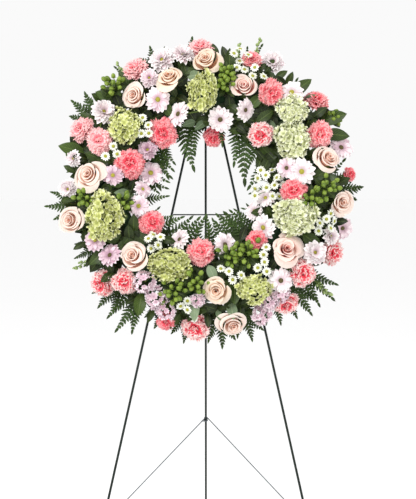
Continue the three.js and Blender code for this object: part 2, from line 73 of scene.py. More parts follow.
# %% The ring's own frame
MM = 0.001
LEAN = radians(12)
OUT = Vector((0, -cos(LEAN), sin(LEAN)))
FACING = Vector((0, 0, 1))
TRAY_MIDDLE = 9.8
tray_low, tray_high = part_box("foam_tray")
ring_centre = (Vector(tray_low) + Vector(tray_high)) / 2 - OUT * TRAY_MIDDLE * MM
TO_WORLD = Matrix.Translation(ring_centre) @ Matrix.Rotation(pi / 2 - LEAN, 4, "X") @ Matrix.Scale(MM, 4)
print("ring centre:", [round(c, 4) for c in ring_centre])

# %% [markdown]
# The camera stands about three metres off, a little above the middle of the wreath, and looks slightly
# down, so the feet fall below the view. Its long lens keeps the ring round. A tracking constraint could aim
# it too, but a rotation that is worked out once says plainly where it looks.

# %% Camera
CAMERA_BACK = 3.3
CAMERA_RISE = 0.1
CAMERA_ASIDE = 0.0065
AIM_FORWARD = 0.1
AIM_DROP = 0.155
LENS = 88.7
SENSOR_WIDTH = 36
FLOWERS_OUT = 0.031
flower_plane = ring_centre + OUT * FLOWERS_OUT


def add_object(name, data):
    made = bpy.data.objects.new(name, data)
    bpy.context.scene.collection.objects.link(made)
    return made


def aim(thing, place, target):
    thing.location = place
    thing.rotation_mode = "QUATERNION"
    thing.rotation_quaternion = (target - thing.location).to_track_quat("-Z", "Y")


camera_data = bpy.data.cameras.new("camera")
camera_data.lens = LENS
camera_data.sensor_width = SENSOR_WIDTH
camera = add_object("camera", camera_data)
aim(camera, flower_plane + Vector((CAMERA_ASIDE, -CAMERA_BACK, CAMERA_RISE)),
    flower_plane + Vector((CAMERA_ASIDE, -AIM_FORWARD, -AIM_DROP)))
bpy.context.scene.camera = camera
print("camera stands at:", [round(c, 3) for c in camera.location])

# %% [markdown]
# ## Materials
# Colours are picked as sRGB hex values, as in any paint program, and one function turns them to the linear
# numbers that the shader works in. Another adds a node: a socket among its settings is linked, and any
# other value is set. Short functions on top of it do sums, stretch a range and mix two colours, so that a
# material reads as a short list of what it is made of.

# %% Colour and node helpers
def hexcolour(code):
    channels = [int(code[i:i + 2], 16) / 255 for i in (1, 3, 5)]
    linear = [c / 12.92 if c <= 0.04045 else ((c + 0.055) / 1.055) ** 2.4 for c in channels]
    return (*linear, 1.0)


def add(tree, kind, settings=()):
    node = tree.nodes.new("ShaderNode" + kind)
    for name, value in dict(settings).items():
        if not isinstance(name, int) and name not in node.inputs:
            setattr(node, name, value)
        elif isinstance(value, bpy.types.NodeSocket):
            tree.links.new(value, node.inputs[name])
        else:
            node.inputs[name].default_value = value
    return node


def maths(tree, operation, *values):
    return add(tree, "Math", {"operation": operation, **dict(enumerate(values))}).outputs[0]


def remap(tree, value, *ends, smooth=False):
    # Slots 1 to 4 are the two ends of the range that comes in, then the two of the range that goes out.
    settings = {"interpolation_type": "SMOOTHSTEP" if smooth else "LINEAR", 0: value}
    return add(tree, "MapRange", {**settings, **dict(enumerate(ends, 1))}).outputs[0]


def mix(tree, kind, factor, first, second):
    # Slots 6 and 7 of the Mix node are its two colours.
    settings = {"data_type": "RGBA", "blend_type": kind, 0: factor, 6: first, 7: second}
    return add(tree, "Mix", settings).outputs[2]


print("the blush rose's colour in linear numbers:", [round(c, 3) for c in hexcolour("#f6e0d3")])

# %% [markdown]
# Every finish here starts the same way, with a shader joined to the output. Patterns that belong to the
# whole object are laid out on its own Object coordinates, which stay with it when it moves. Fine relief is
# a bump and not real geometry, because it is far smaller than a petal's faces.

# %% Parts that finishes share
def start_material(name, settings):
    material = bpy.data.materials.new(name)
    material.use_nodes = True
    tree = material.node_tree
    tree.nodes.clear()
    shader = add(tree, "BsdfPrincipled", settings)
    add(tree, "OutputMaterial", {"Surface": shader.outputs["BSDF"]})
    return material, tree, shader


def object_noise(tree, scale, detail):
    place = add(tree, "TexCoord").outputs["Object"]
    return add(tree, "TexNoise", {"Scale": scale, "Detail": detail, "Vector": place}).outputs["Fac"]


def emboss(tree, shader, height, strength, distance, sunk=False):
    settings = {"Strength": strength, "Distance": distance, "invert": sunk, "Height": height}
    tree.links.new(add(tree, "Bump", settings).outputs["Normal"], shader.inputs["Normal"])


print("materials before the first finish:", len(bpy.data.materials))

# %% [markdown]
# A fresh petal is matte, slightly waxy skin over pale flesh. Its colour runs from the base to the rim,
# deepens towards the heart of the flower, and fine veins run lengthways. The foot of each petal is painted
# darker and warmer as well: painted shade and warm bounce light where it dives between its neighbours.
# Each petal sheet carries a UV map whose V runs from base to rim, and two numbers per point: `heart`, which
# is 1 in the middle of the bloom, and `tone`, a different shade for each petal. The colour could be painted
# as an image, but nodes on those values stay sharp and need no file.
#
# A rose's broad petals also let light through. Part of their shader is therefore translucent, which keeps
# the folds between them bright. Subsurface scattering is the other way, but it turns narrow folds grey.

# %% Petal finish
LIGHT_THROUGH = 0.3


def petal_material(name, base, rim, heart, rim_from=0.7, tone_dark=0.82, vein=0.12, root_shade=0.72,
                   through=0.0):
    material, tree, shader = start_material(name, {"Roughness": 0.62, "IOR": 1.4})
    uv = add(tree, "UVMap", {"uv_map": "petal"}).outputs["UV"]
    along = add(tree, "SeparateXYZ", {0: uv}).outputs["Y"]
    depth = add(tree, "Attribute", {"attribute_name": "heart"}).outputs["Fac"]
    tone = add(tree, "Attribute", {"attribute_name": "tone"}).outputs["Fac"]
    mottle = object_noise(tree, 90.0, 3.0)
    # The rim's colour starts unevenly, so the mottle shifts where it begins.
    height = maths(tree, "ADD", along, maths(tree, "MULTIPLY_ADD", mottle, 0.35, -0.175))
    edge = remap(tree, height, rim_from, 1.0, smooth=True)
    # The heart's colour is also painted on the foot of every petal, as painted warm bounce light in the
    # shaded folds.
    heart_and_painted_fold_warmth = maths(tree, "MAXIMUM", depth, remap(tree, along, 0.15, 0.75, 0.9, 0.0, smooth=True))
    body = mix(tree, "MIX", heart_and_painted_fold_warmth, hexcolour(base), hexcolour(heart))
    skin = mix(tree, "MIX", edge, body, hexcolour(rim))
    stretch = add(tree, "Mapping", {"Scale": (14.0, 1.2, 1.0), "Vector": uv}).outputs["Vector"]
    veins = add(tree, "TexNoise", {"Scale": 2.4, "Detail": 4.0, "Vector": stretch}).outputs["Fac"]
    vein_shade = remap(tree, veins, 0.3, 0.7, 1.0 - vein, 1.0 + 0.3 * vein)
    tone_shade = remap(tree, tone, 0.0, 1.0, tone_dark, 1.06)
    # Painted shade: each petal is painted darker towards its foot, where it dives between its neighbours.
    root = remap(tree, along, 0.0, 0.5, root_shade, 1.0, smooth=True)
    shade = maths(tree, "MULTIPLY", maths(tree, "MULTIPLY", vein_shade, tone_shade), root)
    colour = mix(tree, "MULTIPLY", 1.0, skin, shade)
    tree.links.new(colour, shader.inputs["Base Color"])
    emboss(tree, shader, veins, 0.25, 0.0006)
    if through:
        lit = add(tree, "BsdfTranslucent", {"Color": colour}).outputs["BSDF"]
        both = add(tree, "MixShader", {0: through, 1: shader.outputs["BSDF"], 2: lit}).outputs["Shader"]
        tree.links.new(both, tree.nodes["Material Output"].inputs["Surface"])
    return material


print("share of light that comes through a rose petal:", LIGHT_THROUGH)

# %% [markdown]
# The roses are blush, with a few peach and pink ones, and each petal is nearly even in shade. A carnation's
# coral is pale at the cut rim and deeper in the folds, partly its own colour and partly painted shade.
# Hydrangeas go from lime to cream, and the daisy mums from white to mauve, with the foot of each petal
# painted darker as shade. Each of these is one call, so a shade can be changed in one place.

# %% Petal colours
ROSE = petal_material("rose_petal_blush", "#f6e0d3", "#faebe1", "#f0bda2",
                      rim_from=0.75, tone_dark=0.95, vein=0.03, root_shade=0.98, through=LIGHT_THROUGH)
ROSE_PEACH = petal_material("rose_petal_peach", "#f4dbc2", "#faead9", "#eaac84",
                            rim_from=0.75, tone_dark=0.94, vein=0.04, root_shade=0.96, through=LIGHT_THROUGH)
ROSE_PINK = petal_material("rose_petal_pink", "#f8d5c8", "#fdebe1", "#e97e6c",
                           rim_from=0.7, tone_dark=0.92, vein=0.04, root_shade=0.92, through=LIGHT_THROUGH)
CARNATION = petal_material("carnation_petal_coral", "#e84c5c", "#f8a8aa", "#dc3548",
                           rim_from=0.84, tone_dark=0.8, root_shade=0.78)
CARNATION_EDGED = petal_material("carnation_petal_edged", "#e34252", "#fbe0db", "#d22c3e",
                                 rim_from=0.84, tone_dark=0.82, root_shade=0.78)
CARNATION_PINK = petal_material("carnation_petal_pink", "#ec606b", "#f9b6b5", "#df4352",
                                rim_from=0.82, tone_dark=0.84, root_shade=0.82)
CARNATION_PALE = petal_material("carnation_petal_pale", "#ef848b", "#fac9c7", "#e5636e",
                                rim_from=0.78, tone_dark=0.86, root_shade=0.86)
HYDRANGEA = petal_material("hydrangea_petal_lime", "#dfe29b", "#f2f4c8", "#b7be60",
                           rim_from=0.6, tone_dark=0.78)
HYDRANGEA_CREAM = petal_material("hydrangea_petal_cream", "#ebedca", "#f9fae6", "#cbd291",
                                 rim_from=0.6, tone_dark=0.84)
MUM = petal_material("mum_petal_blush_white", "#f0e1e4", "#f9f1f2", "#ddb8c5",
                     rim_from=0.75, tone_dark=0.88, vein=0.16)
MUM_WHITE = petal_material("mum_petal_white", "#f2ebea", "#faf6f5", "#e4ccd2", rim_from=0.75, tone_dark=0.9)
MUM_MAUVE = petal_material("mum_petal_mauve", "#e5cad4", "#f1e1e7", "#c197a9",
                           rim_from=0.8, tone_dark=0.86, vein=0.16)
STOCK = petal_material("stock_petal_lilac", "#f0dbe2", "#faf1f4", "#dcb8c6", rim_from=0.65, tone_dark=0.88)
ASTER = petal_material("aster_petal_white", "#f0f0e8", "#f9f9f4", "#dde2c8", rim_from=0.8, vein=0.05)
print("nodes in the rose's finish:", len(ROSE.node_tree.nodes))

# %% [markdown]
# The little buttons in the middle of daisies and asters are packed disc florets: hundreds of tiny tubes in
# rings. At this size they read as a fine grain, so a cell pattern at the florets' spacing draws them.

# %% Disc finish
DISC_FLORET_MM = 1.1


def disc_material(name, light, dark):
    material, tree, shader = start_material(name, {"Roughness": 0.8})
    place = add(tree, "TexCoord").outputs["Object"]
    cells = add(tree, "TexVoronoi", {"Scale": 1 / (DISC_FLORET_MM * MM), "Vector": place}).outputs["Distance"]
    colour = mix(tree, "MIX", remap(tree, cells, 0.1, 0.6), hexcolour(light), hexcolour(dark))
    tree.links.new(colour, shader.inputs["Base Color"])
    emboss(tree, shader, cells, 0.6, 0.0006, sunk=True)
    return material


DISC_YELLOW = disc_material("disc_floret_yellow", "#c6c344", "#8b8a22")
DISC_GREEN = disc_material("disc_floret_green", "#cabd42", "#838026")
DISC_DARK = disc_material("disc_floret_dark", "#7d6a34", "#3d371c")
print("florets in a row across a 13 mm button:", round(13 / DISC_FLORET_MM))

# %% [markdown]
# Leaves have a smooth waxy skin, so they shine a little where petals do not. A pale midrib runs down the
# middle and side veins leave it at a slant. Both are drawn from the leaf's UV map: U is 0.5 on the midrib,
# and taking part of the distance from it off V slants the side veins forward. Stems, berries and buds have
# the same skin with fewer veins.

# %% Leaf finish
def leaf_material(name, light, dark, rib, side_veins=9.0, roughness=0.42):
    material, tree, shader = start_material(name, {"Roughness": roughness, "IOR": 1.34})
    uv = add(tree, "UVMap", {"uv_map": "petal"}).outputs["UV"]
    split = add(tree, "SeparateXYZ", {0: uv}).outputs
    tone = add(tree, "Attribute", {"attribute_name": "tone"}).outputs["Fac"]
    mottle = object_noise(tree, 60.0, 4.0)
    away = maths(tree, "ABSOLUTE", maths(tree, "SUBTRACT", split["X"], 0.5))
    slant = maths(tree, "MULTIPLY_ADD", away, -0.6, split["Y"])
    wave = maths(tree, "SINE", maths(tree, "MULTIPLY", slant, 2 * pi * side_veins))
    midrib = remap(tree, away, 0.05, 0.015)
    line = maths(tree, "MAXIMUM", remap(tree, wave, 0.86, 1.0), midrib)
    blotch = maths(tree, "MULTIPLY_ADD", mottle, 0.5, maths(tree, "MULTIPLY", tone, 0.6))
    skin = mix(tree, "MIX", blotch, hexcolour(dark), hexcolour(light))
    colour = mix(tree, "MIX", maths(tree, "MULTIPLY", line, 0.45), skin, hexcolour(rib))
    tree.links.new(colour, shader.inputs["Base Color"])
    emboss(tree, shader, line, 0.35, 0.0008, sunk=True)
    return material


SALAL = leaf_material("salal_leaf_skin", "#40561b", "#0b1403", "#687b3b")
EUCALYPTUS = leaf_material("eucalyptus_leaf_bloom", "#8b9d7c", "#55694a", "#a9b795", roughness=0.6)
FERN = leaf_material("leatherleaf_frond", "#39531d", "#0d1705", "#56702f", side_veins=5.0, roughness=0.5)
STEM = leaf_material("cut_stem_green", "#74893f", "#465c24", "#8a9f52", side_veins=1.0, roughness=0.55)
BERRY = leaf_material("hypericum_berry_skin", "#83983a", "#456018", "#9bab4f", side_veins=0.5, roughness=0.3)
BUD = leaf_material("closed_bud_skin", "#94a768", "#5c753c", "#b0bd88", side_veins=1.0, roughness=0.5)
print("nodes in a leaf's finish:", len(SALAL.node_tree.nodes))

# %% [markdown]
# ## Enamelled and galvanised wire
# The easel is drawn steel wire dipped in dark green enamel: smooth, half-glossy, with faint sags and dust.
# The spreader is galvanised, so it shows dull grey zinc with a cloudy crystal mottle. Both real patterns
# are too fine to see from three metres, so they are drawn a few millimetres across. The tray is moulded
# plastic and the foam is a dull open grain, made by the same function with other numbers.

# %% Wire and base finishes
def speckled(name, light, dark, spot_mm, settings, relief):
    material, tree, shader = start_material(name, settings)
    spots = object_noise(tree, 1 / (spot_mm * MM), 5.0)
    tree.links.new(mix(tree, "MIX", spots, hexcolour(dark), hexcolour(light)), shader.inputs["Base Color"])
    dull = settings["Roughness"]
    tree.links.new(remap(tree, spots, 0.3, 0.7, dull - 0.08, dull + 0.1), shader.inputs["Roughness"])
    emboss(tree, shader, spots, relief, spot_mm * MM * 0.3)
    return material


ENAMEL = speckled("dark_green_enamel", "#14231c", "#080f0c", 7.0,
                  {"Roughness": 0.45, "Specular IOR Level": 0.25}, 0.15)
ZINC = speckled("galvanised_zinc", "#747b80", "#4b5256", 5.0, {"Roughness": 0.42, "Metallic": 0.85}, 0.2)
TRAY_PLASTIC = speckled("moulded_polypropylene", "#2f5238", "#213c29", 3.0, {"Roughness": 0.5}, 0.1)
FOAM = speckled("soaked_floral_foam", "#2c4d2e", "#16301b", 1.5, {"Roughness": 0.95}, 0.8)
print("materials after the wires and the base:", len(bpy.data.materials))

# %% [markdown]
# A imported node's mesh is loose triangles with flat shading. Left alone it would show twelve flats round
# each leg, so a copy of it is merged and shaded smooth, and stands in for the node. Edges sharper than 40
# degrees, such as the cut ends, stay crisp.

# %% Smooth copies of the wires, tray and foam
SAME_POINT = 0.00002
SHARP_EDGE = radians(40)


def smooth_copy(node, material, body):
    bm = bmesh.new()
    bm.from_mesh(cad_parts[node].data)
    bmesh.ops.remove_doubles(bm, verts=bm.verts, dist=SAME_POINT)
    for face in bm.faces:
        face.smooth = True
    for edge in bm.edges:
        edge.smooth = edge.calc_face_angle(pi) < SHARP_EDGE
    mesh = bpy.data.meshes.new(node + "_finish")
    bm.to_mesh(mesh)
    bm.free()
    mesh.materials.append(material)
    piece = add_object(node + "_finish", mesh)
    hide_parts(node)
    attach(piece, body)


FRONT_WIRES = ["left_front_leg", "right_front_leg", "crown_bend", "hinge_bar", "crossbar",
               "left_prong", "right_prong", "left_lug", "right_lug"]
for node in FRONT_WIRES:
    smooth_copy(node, ENAMEL, "front_frame")
smooth_copy("rear_leg", ENAMEL, "rear_leg_body")
smooth_copy("leg_ring", ZINC, "rear_leg_body")
smooth_copy("left_spreader", ZINC, "spreader_body")
smooth_copy("right_spreader", ZINC, "spreader_body")
smooth_copy("foam_tray", TRAY_PLASTIC, "front_frame")
smooth_copy("foam_ring", FOAM, "front_frame")
print("wires finished:", len(FRONT_WIRES) + 4, "and the tray and the foam")

# %% [markdown]
# ## Sheets that become petals and leaves
# A petal, a leaf and a fern leaflet are all thin sheets. Each starts as one `create_grid`, whose UVs
# already run from 0 to 1, and a bending rule then moves its points: `s` runs from -1 to 1 across and `t`
# from 0 at the base to 1 at the tip. Sculpting each petal by hand would look no better and could not be
# repeated thousands of times. Berries and buds are knobs made from an icosphere, and stems are stalks made
# from a cone with its point cut off.

# %% The bloom workbench
def turned(axis):
    return axis.to_track_quat("Z", "Y").to_matrix().to_4x4()


class Bloom:
    """A bmesh with the UV map and the two numbers per point that the petal finish reads."""

    def __init__(self):
        self.bm = bmesh.new()
        self.uv = self.bm.loops.layers.uv.new("petal")
        self.tone = self.bm.verts.layers.float.new("tone")
        self.heart = self.bm.verts.layers.float.new("heart")

    def paint(self, verts, slot, tone=0.0, heart=0.0):
        for vert in verts:
            vert[self.tone] = tone
            vert[self.heart] = heart
        for face in {face for vert in verts for face in vert.link_faces}:
            face.material_index = slot
            face.smooth = True

    def sheet(self, across, along, rule, tone=0.5, heart=0.0, slot=0):
        made = bmesh.ops.create_grid(self.bm, x_segments=across, y_segments=along, size=0.5, calc_uvs=True)
        for vert in made["verts"]:
            vert.co = rule(2 * vert.co.x, vert.co.y + 0.5)
        self.paint(made["verts"], slot, tone, heart)

    def knob(self, place, size, slot, detail=2, stretch=1.0, tone=0.5, axis=FACING):
        matrix = Matrix.Translation(place) @ turned(axis) @ Matrix.Diagonal((size, size, size * stretch, 1))
        made = bmesh.ops.create_icosphere(self.bm, subdivisions=detail, radius=1, matrix=matrix,
                                          calc_uvs=True)
        self.paint(made["verts"], slot, tone)

    def stalk(self, start, end, size, slot, tip_size=None, sides=6):
        along = end - start
        matrix = Matrix.Translation((start + end) / 2) @ turned(along)
        made = bmesh.ops.create_cone(self.bm, cap_ends=True, cap_tris=True, segments=sides, radius1=size,
                                     radius2=tip_size or size, depth=along.length, matrix=matrix,
                                     calc_uvs=True)
        self.paint(made["verts"], slot, tone=0.5)

    def stamp(self, other, matrix, tone, heart):
        before = len(self.bm.verts)
        self.bm.from_mesh(other)
        self.bm.verts.ensure_lookup_table()
        fresh = self.bm.verts[before:]
        bmesh.ops.transform(self.bm, matrix=matrix, verts=fresh)
        for vert in fresh:
            vert[self.tone] = tone
            vert[self.heart] = heart

    def mesh(self, name, merge):
        bmesh.ops.remove_doubles(self.bm, verts=self.bm.verts, dist=merge)
        made = bpy.data.meshes.new(name)
        self.bm.to_mesh(made)
        self.bm.free()
        return made


trial = Bloom()
trial.sheet(9, 9, lambda s, t: Vector((s, t, 0)))
print("faces in a sheet of 9 by 9:", len(trial.bm.faces))
trial.bm.free()

# %% [markdown]
# A finished bloom leaves the workbench in one step: it is carried to the world, given its finishes, and the
# solids that it stands for are hidden. Moving the points and not the object keeps the object at the origin.

# %% Plant a finished bloom
WELD = 0.00001


def plant(name, bloom, materials, nodes=()):
    bmesh.ops.transform(bloom.bm, matrix=TO_WORLD, verts=bloom.bm.verts)
    mesh = bloom.mesh(name, merge=WELD)
    for material in materials:
        mesh.materials.append(material)
    piece = add_object(name, mesh)
    if nodes:
        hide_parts(*nodes)
    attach(piece, "front_frame")


print("points closer than this are welded, in mm:", WELD / MM)

# %% [markdown]
# ## The planting plan
# The florist's plan is the same one that the solids follow: clock angle from the top, distance from the
# ring's centre and bloom width, in degrees and millimetres. Blooms that share a wired pick stand in one
# bracket. The plan could be read off the solids' boxes, but rows that a person can read and change are
# easier to learn from.

# %% Plan of the blooms that have a solid
ROSES = [
    (321, 290, 72), (341, 290, 72), (0, 312, 70), (22, 270, 66), (273, 300, 84), (254, 352, 80),
    (223, 270, 80), (79, 322, 78), (98, 358, 68), (130, 275, 86), (174, 284, 76), (169, 368, 78),
]
HYDRANGEAS = [
    (303, 262, 88), (356, 230, 108), (50, 297, 76), (64, 252, 84), (251, 284, 104), (203, 234, 108),
    (113, 250, 100), (156, 305, 84),
]
CARNATION_PICKS = [
    [(358, 374, 62)], [(20, 356, 50), (36, 293, 62)], [(329, 362, 62)],
    [(294, 358, 60), (293, 291, 62)], [(324, 178, 68)], [(284, 205, 68)],
    [(226, 374, 62), (219, 333, 56)], [(184, 374, 66)], [(235, 174, 58)], [(184, 183, 64)],
    [(146, 372, 64), (133, 340, 64)], [(118, 374, 64)], [(67, 324, 62), (52, 374, 62)], [(49, 193, 58)],
]
MUM_SPRAYS = [
    [(341, 352, 58), (350, 350, 52)], [(305, 327, 56), (281, 352, 38), (268, 360, 44)],
    [(281, 149, 62), (264, 166, 44), (250, 181, 52)], [(128, 192, 60), (117, 148, 46), (105, 160, 46)],
    [(341, 196, 64), (11, 180, 60), (28, 219, 54)], [(163, 170, 58), (204, 166, 52)],
]
BERRIES = (317, 352, 58)
print("roses:", len(ROSES), "hydrangeas:", len(HYDRANGEAS), "carnation picks:", len(CARNATION_PICKS))

# %% [markdown]
# The heads stand on a dome that runs round the ring, highest over the foam's middle. A stem runs from its
# head into the foam, and where several heads share a pick their stems meet at a fork.

# %% Heads, dome and stems
RING_MIDDLE = 257
DOME_REACH = 118
DOME_FOOT = 62
DOME_RISE = 75
STEM_END = 28
STEM_FAN = 0.3
FAN_LIMIT = 26
FORK_SHARE = 0.45


def on_ring(clock, distance, height):
    return Vector((distance * sin(radians(clock)), distance * cos(radians(clock)), height))


def dome_height(distance):
    side = max(-1, min(1, (distance - RING_MIDDLE) / DOME_REACH))
    return DOME_FOOT + DOME_RISE * sqrt(1 - side ** 2)


class Head:
    """One flower head: its clock angle, the middle of its ball and the ball's radius."""

    def __init__(self, clock, distance, width):
        self.clock = clock
        self.centre = on_ring(clock, distance, dome_height(distance))
        self.radius = width / 2


def stem_end(centre):
    distance = centre.xy.length
    fan = max(-FAN_LIMIT, min(FAN_LIMIT, STEM_FAN * (distance - RING_MIDDLE)))
    return Vector((*(centre.xy * (RING_MIDDLE + fan) / distance), STEM_END))


def spray_fork(heads):
    middle = sum((head.centre for head in heads), Vector()) / len(heads)
    end = stem_end(middle)
    return end, end.lerp(middle, FORK_SHARE if len(heads) > 1 else 0)


print("height of the dome over the foam's middle, mm:", dome_height(RING_MIDDLE))

# %% [markdown]
# Crowded heads push each other apart until they only touch, as they do in the florist's hands. The frame
# gives each node's box, and the printed check shows that every head lands in its own node.

# %% Settle the planned heads
SLACK = 0.3


def settle(heads, loose, slack=SLACK, passes=80):
    for _ in range(passes):
        for i, one in enumerate(heads):
            for other in heads[i + 1:]:
                between = other.centre - one.centre
                crowding = one.radius + other.radius + slack - between.length
                if crowding > 0 and (one in loose or other in loose):
                    share = crowding / 2 if one in loose and other in loose else crowding
                    step = between.normalized() * share
                    if one in loose:
                        one.centre = one.centre - step
                    if other in loose:
                        other.centre = other.centre + step
        for head in loose:
            head.centre.z = max(head.centre.z, DOME_FOOT)


roses = [[Head(*row)] for row in ROSES]
hydrangeas = [[Head(*row)] for row in HYDRANGEAS]
carnations = [[Head(*row) for row in rows] for rows in CARNATION_PICKS]
mums = [[Head(*row) for row in rows] for rows in MUM_SPRAYS]
berry_spray = [Head(*BERRIES)]
sprays = [*roses, *hydrangeas, *carnations, *mums, berry_spray]
planned = [head for spray in sprays for head in spray]
settle(planned, set(planned))
worst = 0
kinds = {"rose": roses, "hydrangea": hydrangeas, "carnation": carnations, "mum_spray": mums}
for label, kind in kinds.items():
    for i, spray in enumerate(kind):
        low, high = (Vector(corner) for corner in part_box(f"{label}_{i + 1}"))
        for head in spray:
            place = TO_WORLD @ head.centre
            worst = max(worst, *(low - place), *(place - high))
print("heads placed:", len(planned), "furthest outside its node, mm:", round(worst / MM, 2))

# %% [markdown]
# Blooms that carry no solid of their own still need room. They are placed the same way and then give way to
# the planned heads, which stay fixed, so the gaps close without moving anything that the solids promise.
# They may press 16 mm into a neighbour, since soft petals give.

# %% Smaller blooms between the planned ones
EXTRA_CARNATIONS = [(9, 137, 50), (138, 200, 48), (85, 384, 36), (98, 232, 60), (196, 372, 44)]
EXTRA_MUMS = [
    (330, 252, 58), (332, 315, 44), (274, 241, 46), (300, 175, 46), (44, 327, 58), (28, 384, 56),
    (74, 374, 58), (80, 215, 48), (84, 252, 60), (242, 323, 50), (232, 312, 52), (123, 337, 56),
    (143, 322, 56), (107, 378, 50), (113, 352, 44),
]
EXTRA_BERRIES = [
    (6, 252, 50), (11, 292, 46), (61, 386, 42), (93, 312, 60), (99, 278, 52), (255, 222, 50),
    (186, 266, 58), (196, 296, 64), (153, 212, 72), (160, 190, 50), (262, 318, 44),
]
STOCKS = [
    (211, 306, 50), (203, 326, 52), (197, 346, 48), (152, 346, 46), (157, 370, 50), (146, 350, 40),
    (184, 308, 34),
]
PRESSED = 16
extra_carnations = [Head(*row) for row in EXTRA_CARNATIONS]
extra_mums = [Head(*row) for row in EXTRA_MUMS]
extra_berries = [Head(*row) for row in EXTRA_BERRIES]
stocks = [Head(*row) for row in STOCKS]
extras = extra_carnations + extra_mums + extra_berries + stocks
settle(planned + extras, set(extras), slack=-PRESSED, passes=30)
print("extra blooms:", len(extras))

# %% [markdown]
# Each head faces the way its stem points, turned a little towards the mourner as florists do. Its own frame
# has Z out of the bloom and is scaled so that the bloom's radius is 1, which keeps the petal rules free of
# sizes. Successive petals are turned by the golden angle, as on the plant, so that none sits right over
# another.

# %% Turning a head to face out
GOLDEN_ANGLE = pi * (3 - sqrt(5))
STEM_RADIUS = 2.4
STEM_TIP_RADIUS = 2.0


def jitter(rng, amount):
    return Vector([rng.uniform(-amount, amount) for _ in range(3)])


def slanted(slope, turn):
    return Vector((sin(slope) * cos(turn), sin(slope) * sin(turn), cos(slope)))


def spoke(turn, out, side, height):
    return Vector((out * cos(turn) - side * sin(turn), out * sin(turn) + side * cos(turn), height))


def polar(place, angle, radius, height):
    return place @ Vector((radius * cos(angle), radius * sin(angle), height))


def head_place(head, fork, rng, swell=1.08, to_viewer=0.25, stray=0.12):
    axis = (head.centre - fork).normalized().lerp(FACING, to_viewer)
    axis = (axis + stray * jitter(rng, 1)).normalized()
    turn = turned(axis) @ Matrix.Rotation(rng.uniform(0, 2 * pi), 4, "Z")
    return Matrix.Translation(head.centre) @ turn @ Matrix.Scale(head.radius * swell, 4)


def about(middle, matrix):
    there = Matrix.Translation(middle)
    return there @ matrix @ there.inverted()


def lean(place, clock, amount):
    axis = (place.to_3x3() @ FACING).normalized()
    tilt = axis.rotation_difference(axis + amount * on_ring(clock, 1, 0)).to_matrix().to_4x4()
    return about(place.translation, tilt) @ place


def stems(bloom, heads, slot):
    end, fork = spray_fork(heads)
    if len(heads) > 1:
        bloom.stalk(end, fork, STEM_RADIUS, slot)
    for head in heads:
        bloom.stalk(fork, fork.lerp(head.centre, 0.9), STEM_RADIUS, slot, tip_size=STEM_TIP_RADIUS)
    return fork


print("golden angle in degrees:", round(GOLDEN_ANGLE * 180 / pi, 1))

# %% [markdown]
# ## A rose
# A garden rose is a spiral of overlapping cups: the first petals wrap tight and stand tall, each next one
# is wider and lower, and the outermost flare out at the lip. Turning each petal by the golden angle gives
# that spiral without a table of positions. Rounding the sheet's corners and rolling its lip make it a
# petal. The openness of each rose sets how far its lips flare and how low its outer petals sink.

# %% Rose petals
ROSE_PETALS = 16


def rose(bloom, place, rng, openness):
    foot = -0.72 + 0.22 * openness
    for k in range(ROSE_PETALS):
        f = k / (ROSE_PETALS - 1)
        turn = k * GOLDEN_ANGLE + rng.uniform(-0.4, 0.4)
        # Each lip flares out as far as the next petal, so the spaces between the cups stay covered.
        flare = (0.05 + (0.12 + 0.22 * openness) * f ** 1.7) * rng.uniform(0.6, 1.5)
        spread = f ** (1.5 - 0.1 * openness)
        lip_radius = 0.03 + (0.84 - 0.14 * openness) * spread * rng.uniform(0.86, 1.04)
        lip_height = 0.62 - (0.16 + 0.26 * openness) * f ** 2.2 + rng.uniform(-0.08, 0.06)
        half = radians(66 + 76 * (1 - f) ** 2) * rng.uniform(0.85, 1.2)
        wave = rng.uniform(0, 2 * pi)
        skew = rng.uniform(-0.14, 0.14)

        def bend(s, t):
            reach = t * (1 - 0.2 * abs(s) ** 2.6)
            lip = max(0, (reach - 0.66) / 0.34)
            # A half-open rose is widest low down and its sides stand, so from the side it is an egg.
            wide = max(0, sin(pi * min(1, reach * (1.6 - 0.3 * openness)) / 2)) ** 0.75
            egg = 0.1 * f * (1 - openness) * sin(pi * min(1, reach / 0.9))
            radius = 0.06 + (lip_radius - 0.02) * wide + egg
            radius += flare * lip ** 1.7 + 0.05 * s * (0.25 + 0.7 * f) + 0.03 * sin(4 * s + wave) * lip
            curl = flare * (0.3 + 0.5 * f) * lip ** 2.2
            height = foot + (lip_height - foot) * sin(pi * reach / 2) ** 1.1 - curl
            height += skew * s * lip
            width = half * (0.5 + 0.5 * sin(pi * min(1, reach * 1.15) / 2))
            return polar(place, turn + s * width, max(0.01, radius), height)

        bloom.sheet(9, 9, bend, tone=rng.random(), heart=max(0, 1 - f * 1.7) ** 0.9)


def calyx(bloom, place, slot, rim=0.42, depth=0.55, sepals=5):
    for k in range(sepals):
        def bend(s, t):
            width = 0.62 * (1 - t) ** 0.6 + 0.02
            radius = 0.1 + rim * sin(pi * t / 2)
            return polar(place, 2 * pi * k / sepals + s * width, radius, -depth + 0.3 * t)
        bloom.sheet(3, 4, bend, tone=0.4, slot=slot)


print("petals in a rose:", ROSE_PETALS)

# %% [markdown]
# ## A carnation
# Carnations are a pom-pom of narrow petals on a tubular calyx. Each petal widens to a fan whose rim is
# pinked like cut cloth and ruffled. The zigzag comes from shortening every second column of the grid and
# the ruffle from a wave that grows towards the rim, so the rim catches light and its folds fall dark.

# %% Carnation petals
CARNATION_PETALS = 48
SMALL_CARNATION_PETALS = 40
FOLDED_OVER = 5
FAN_COLUMNS = 14


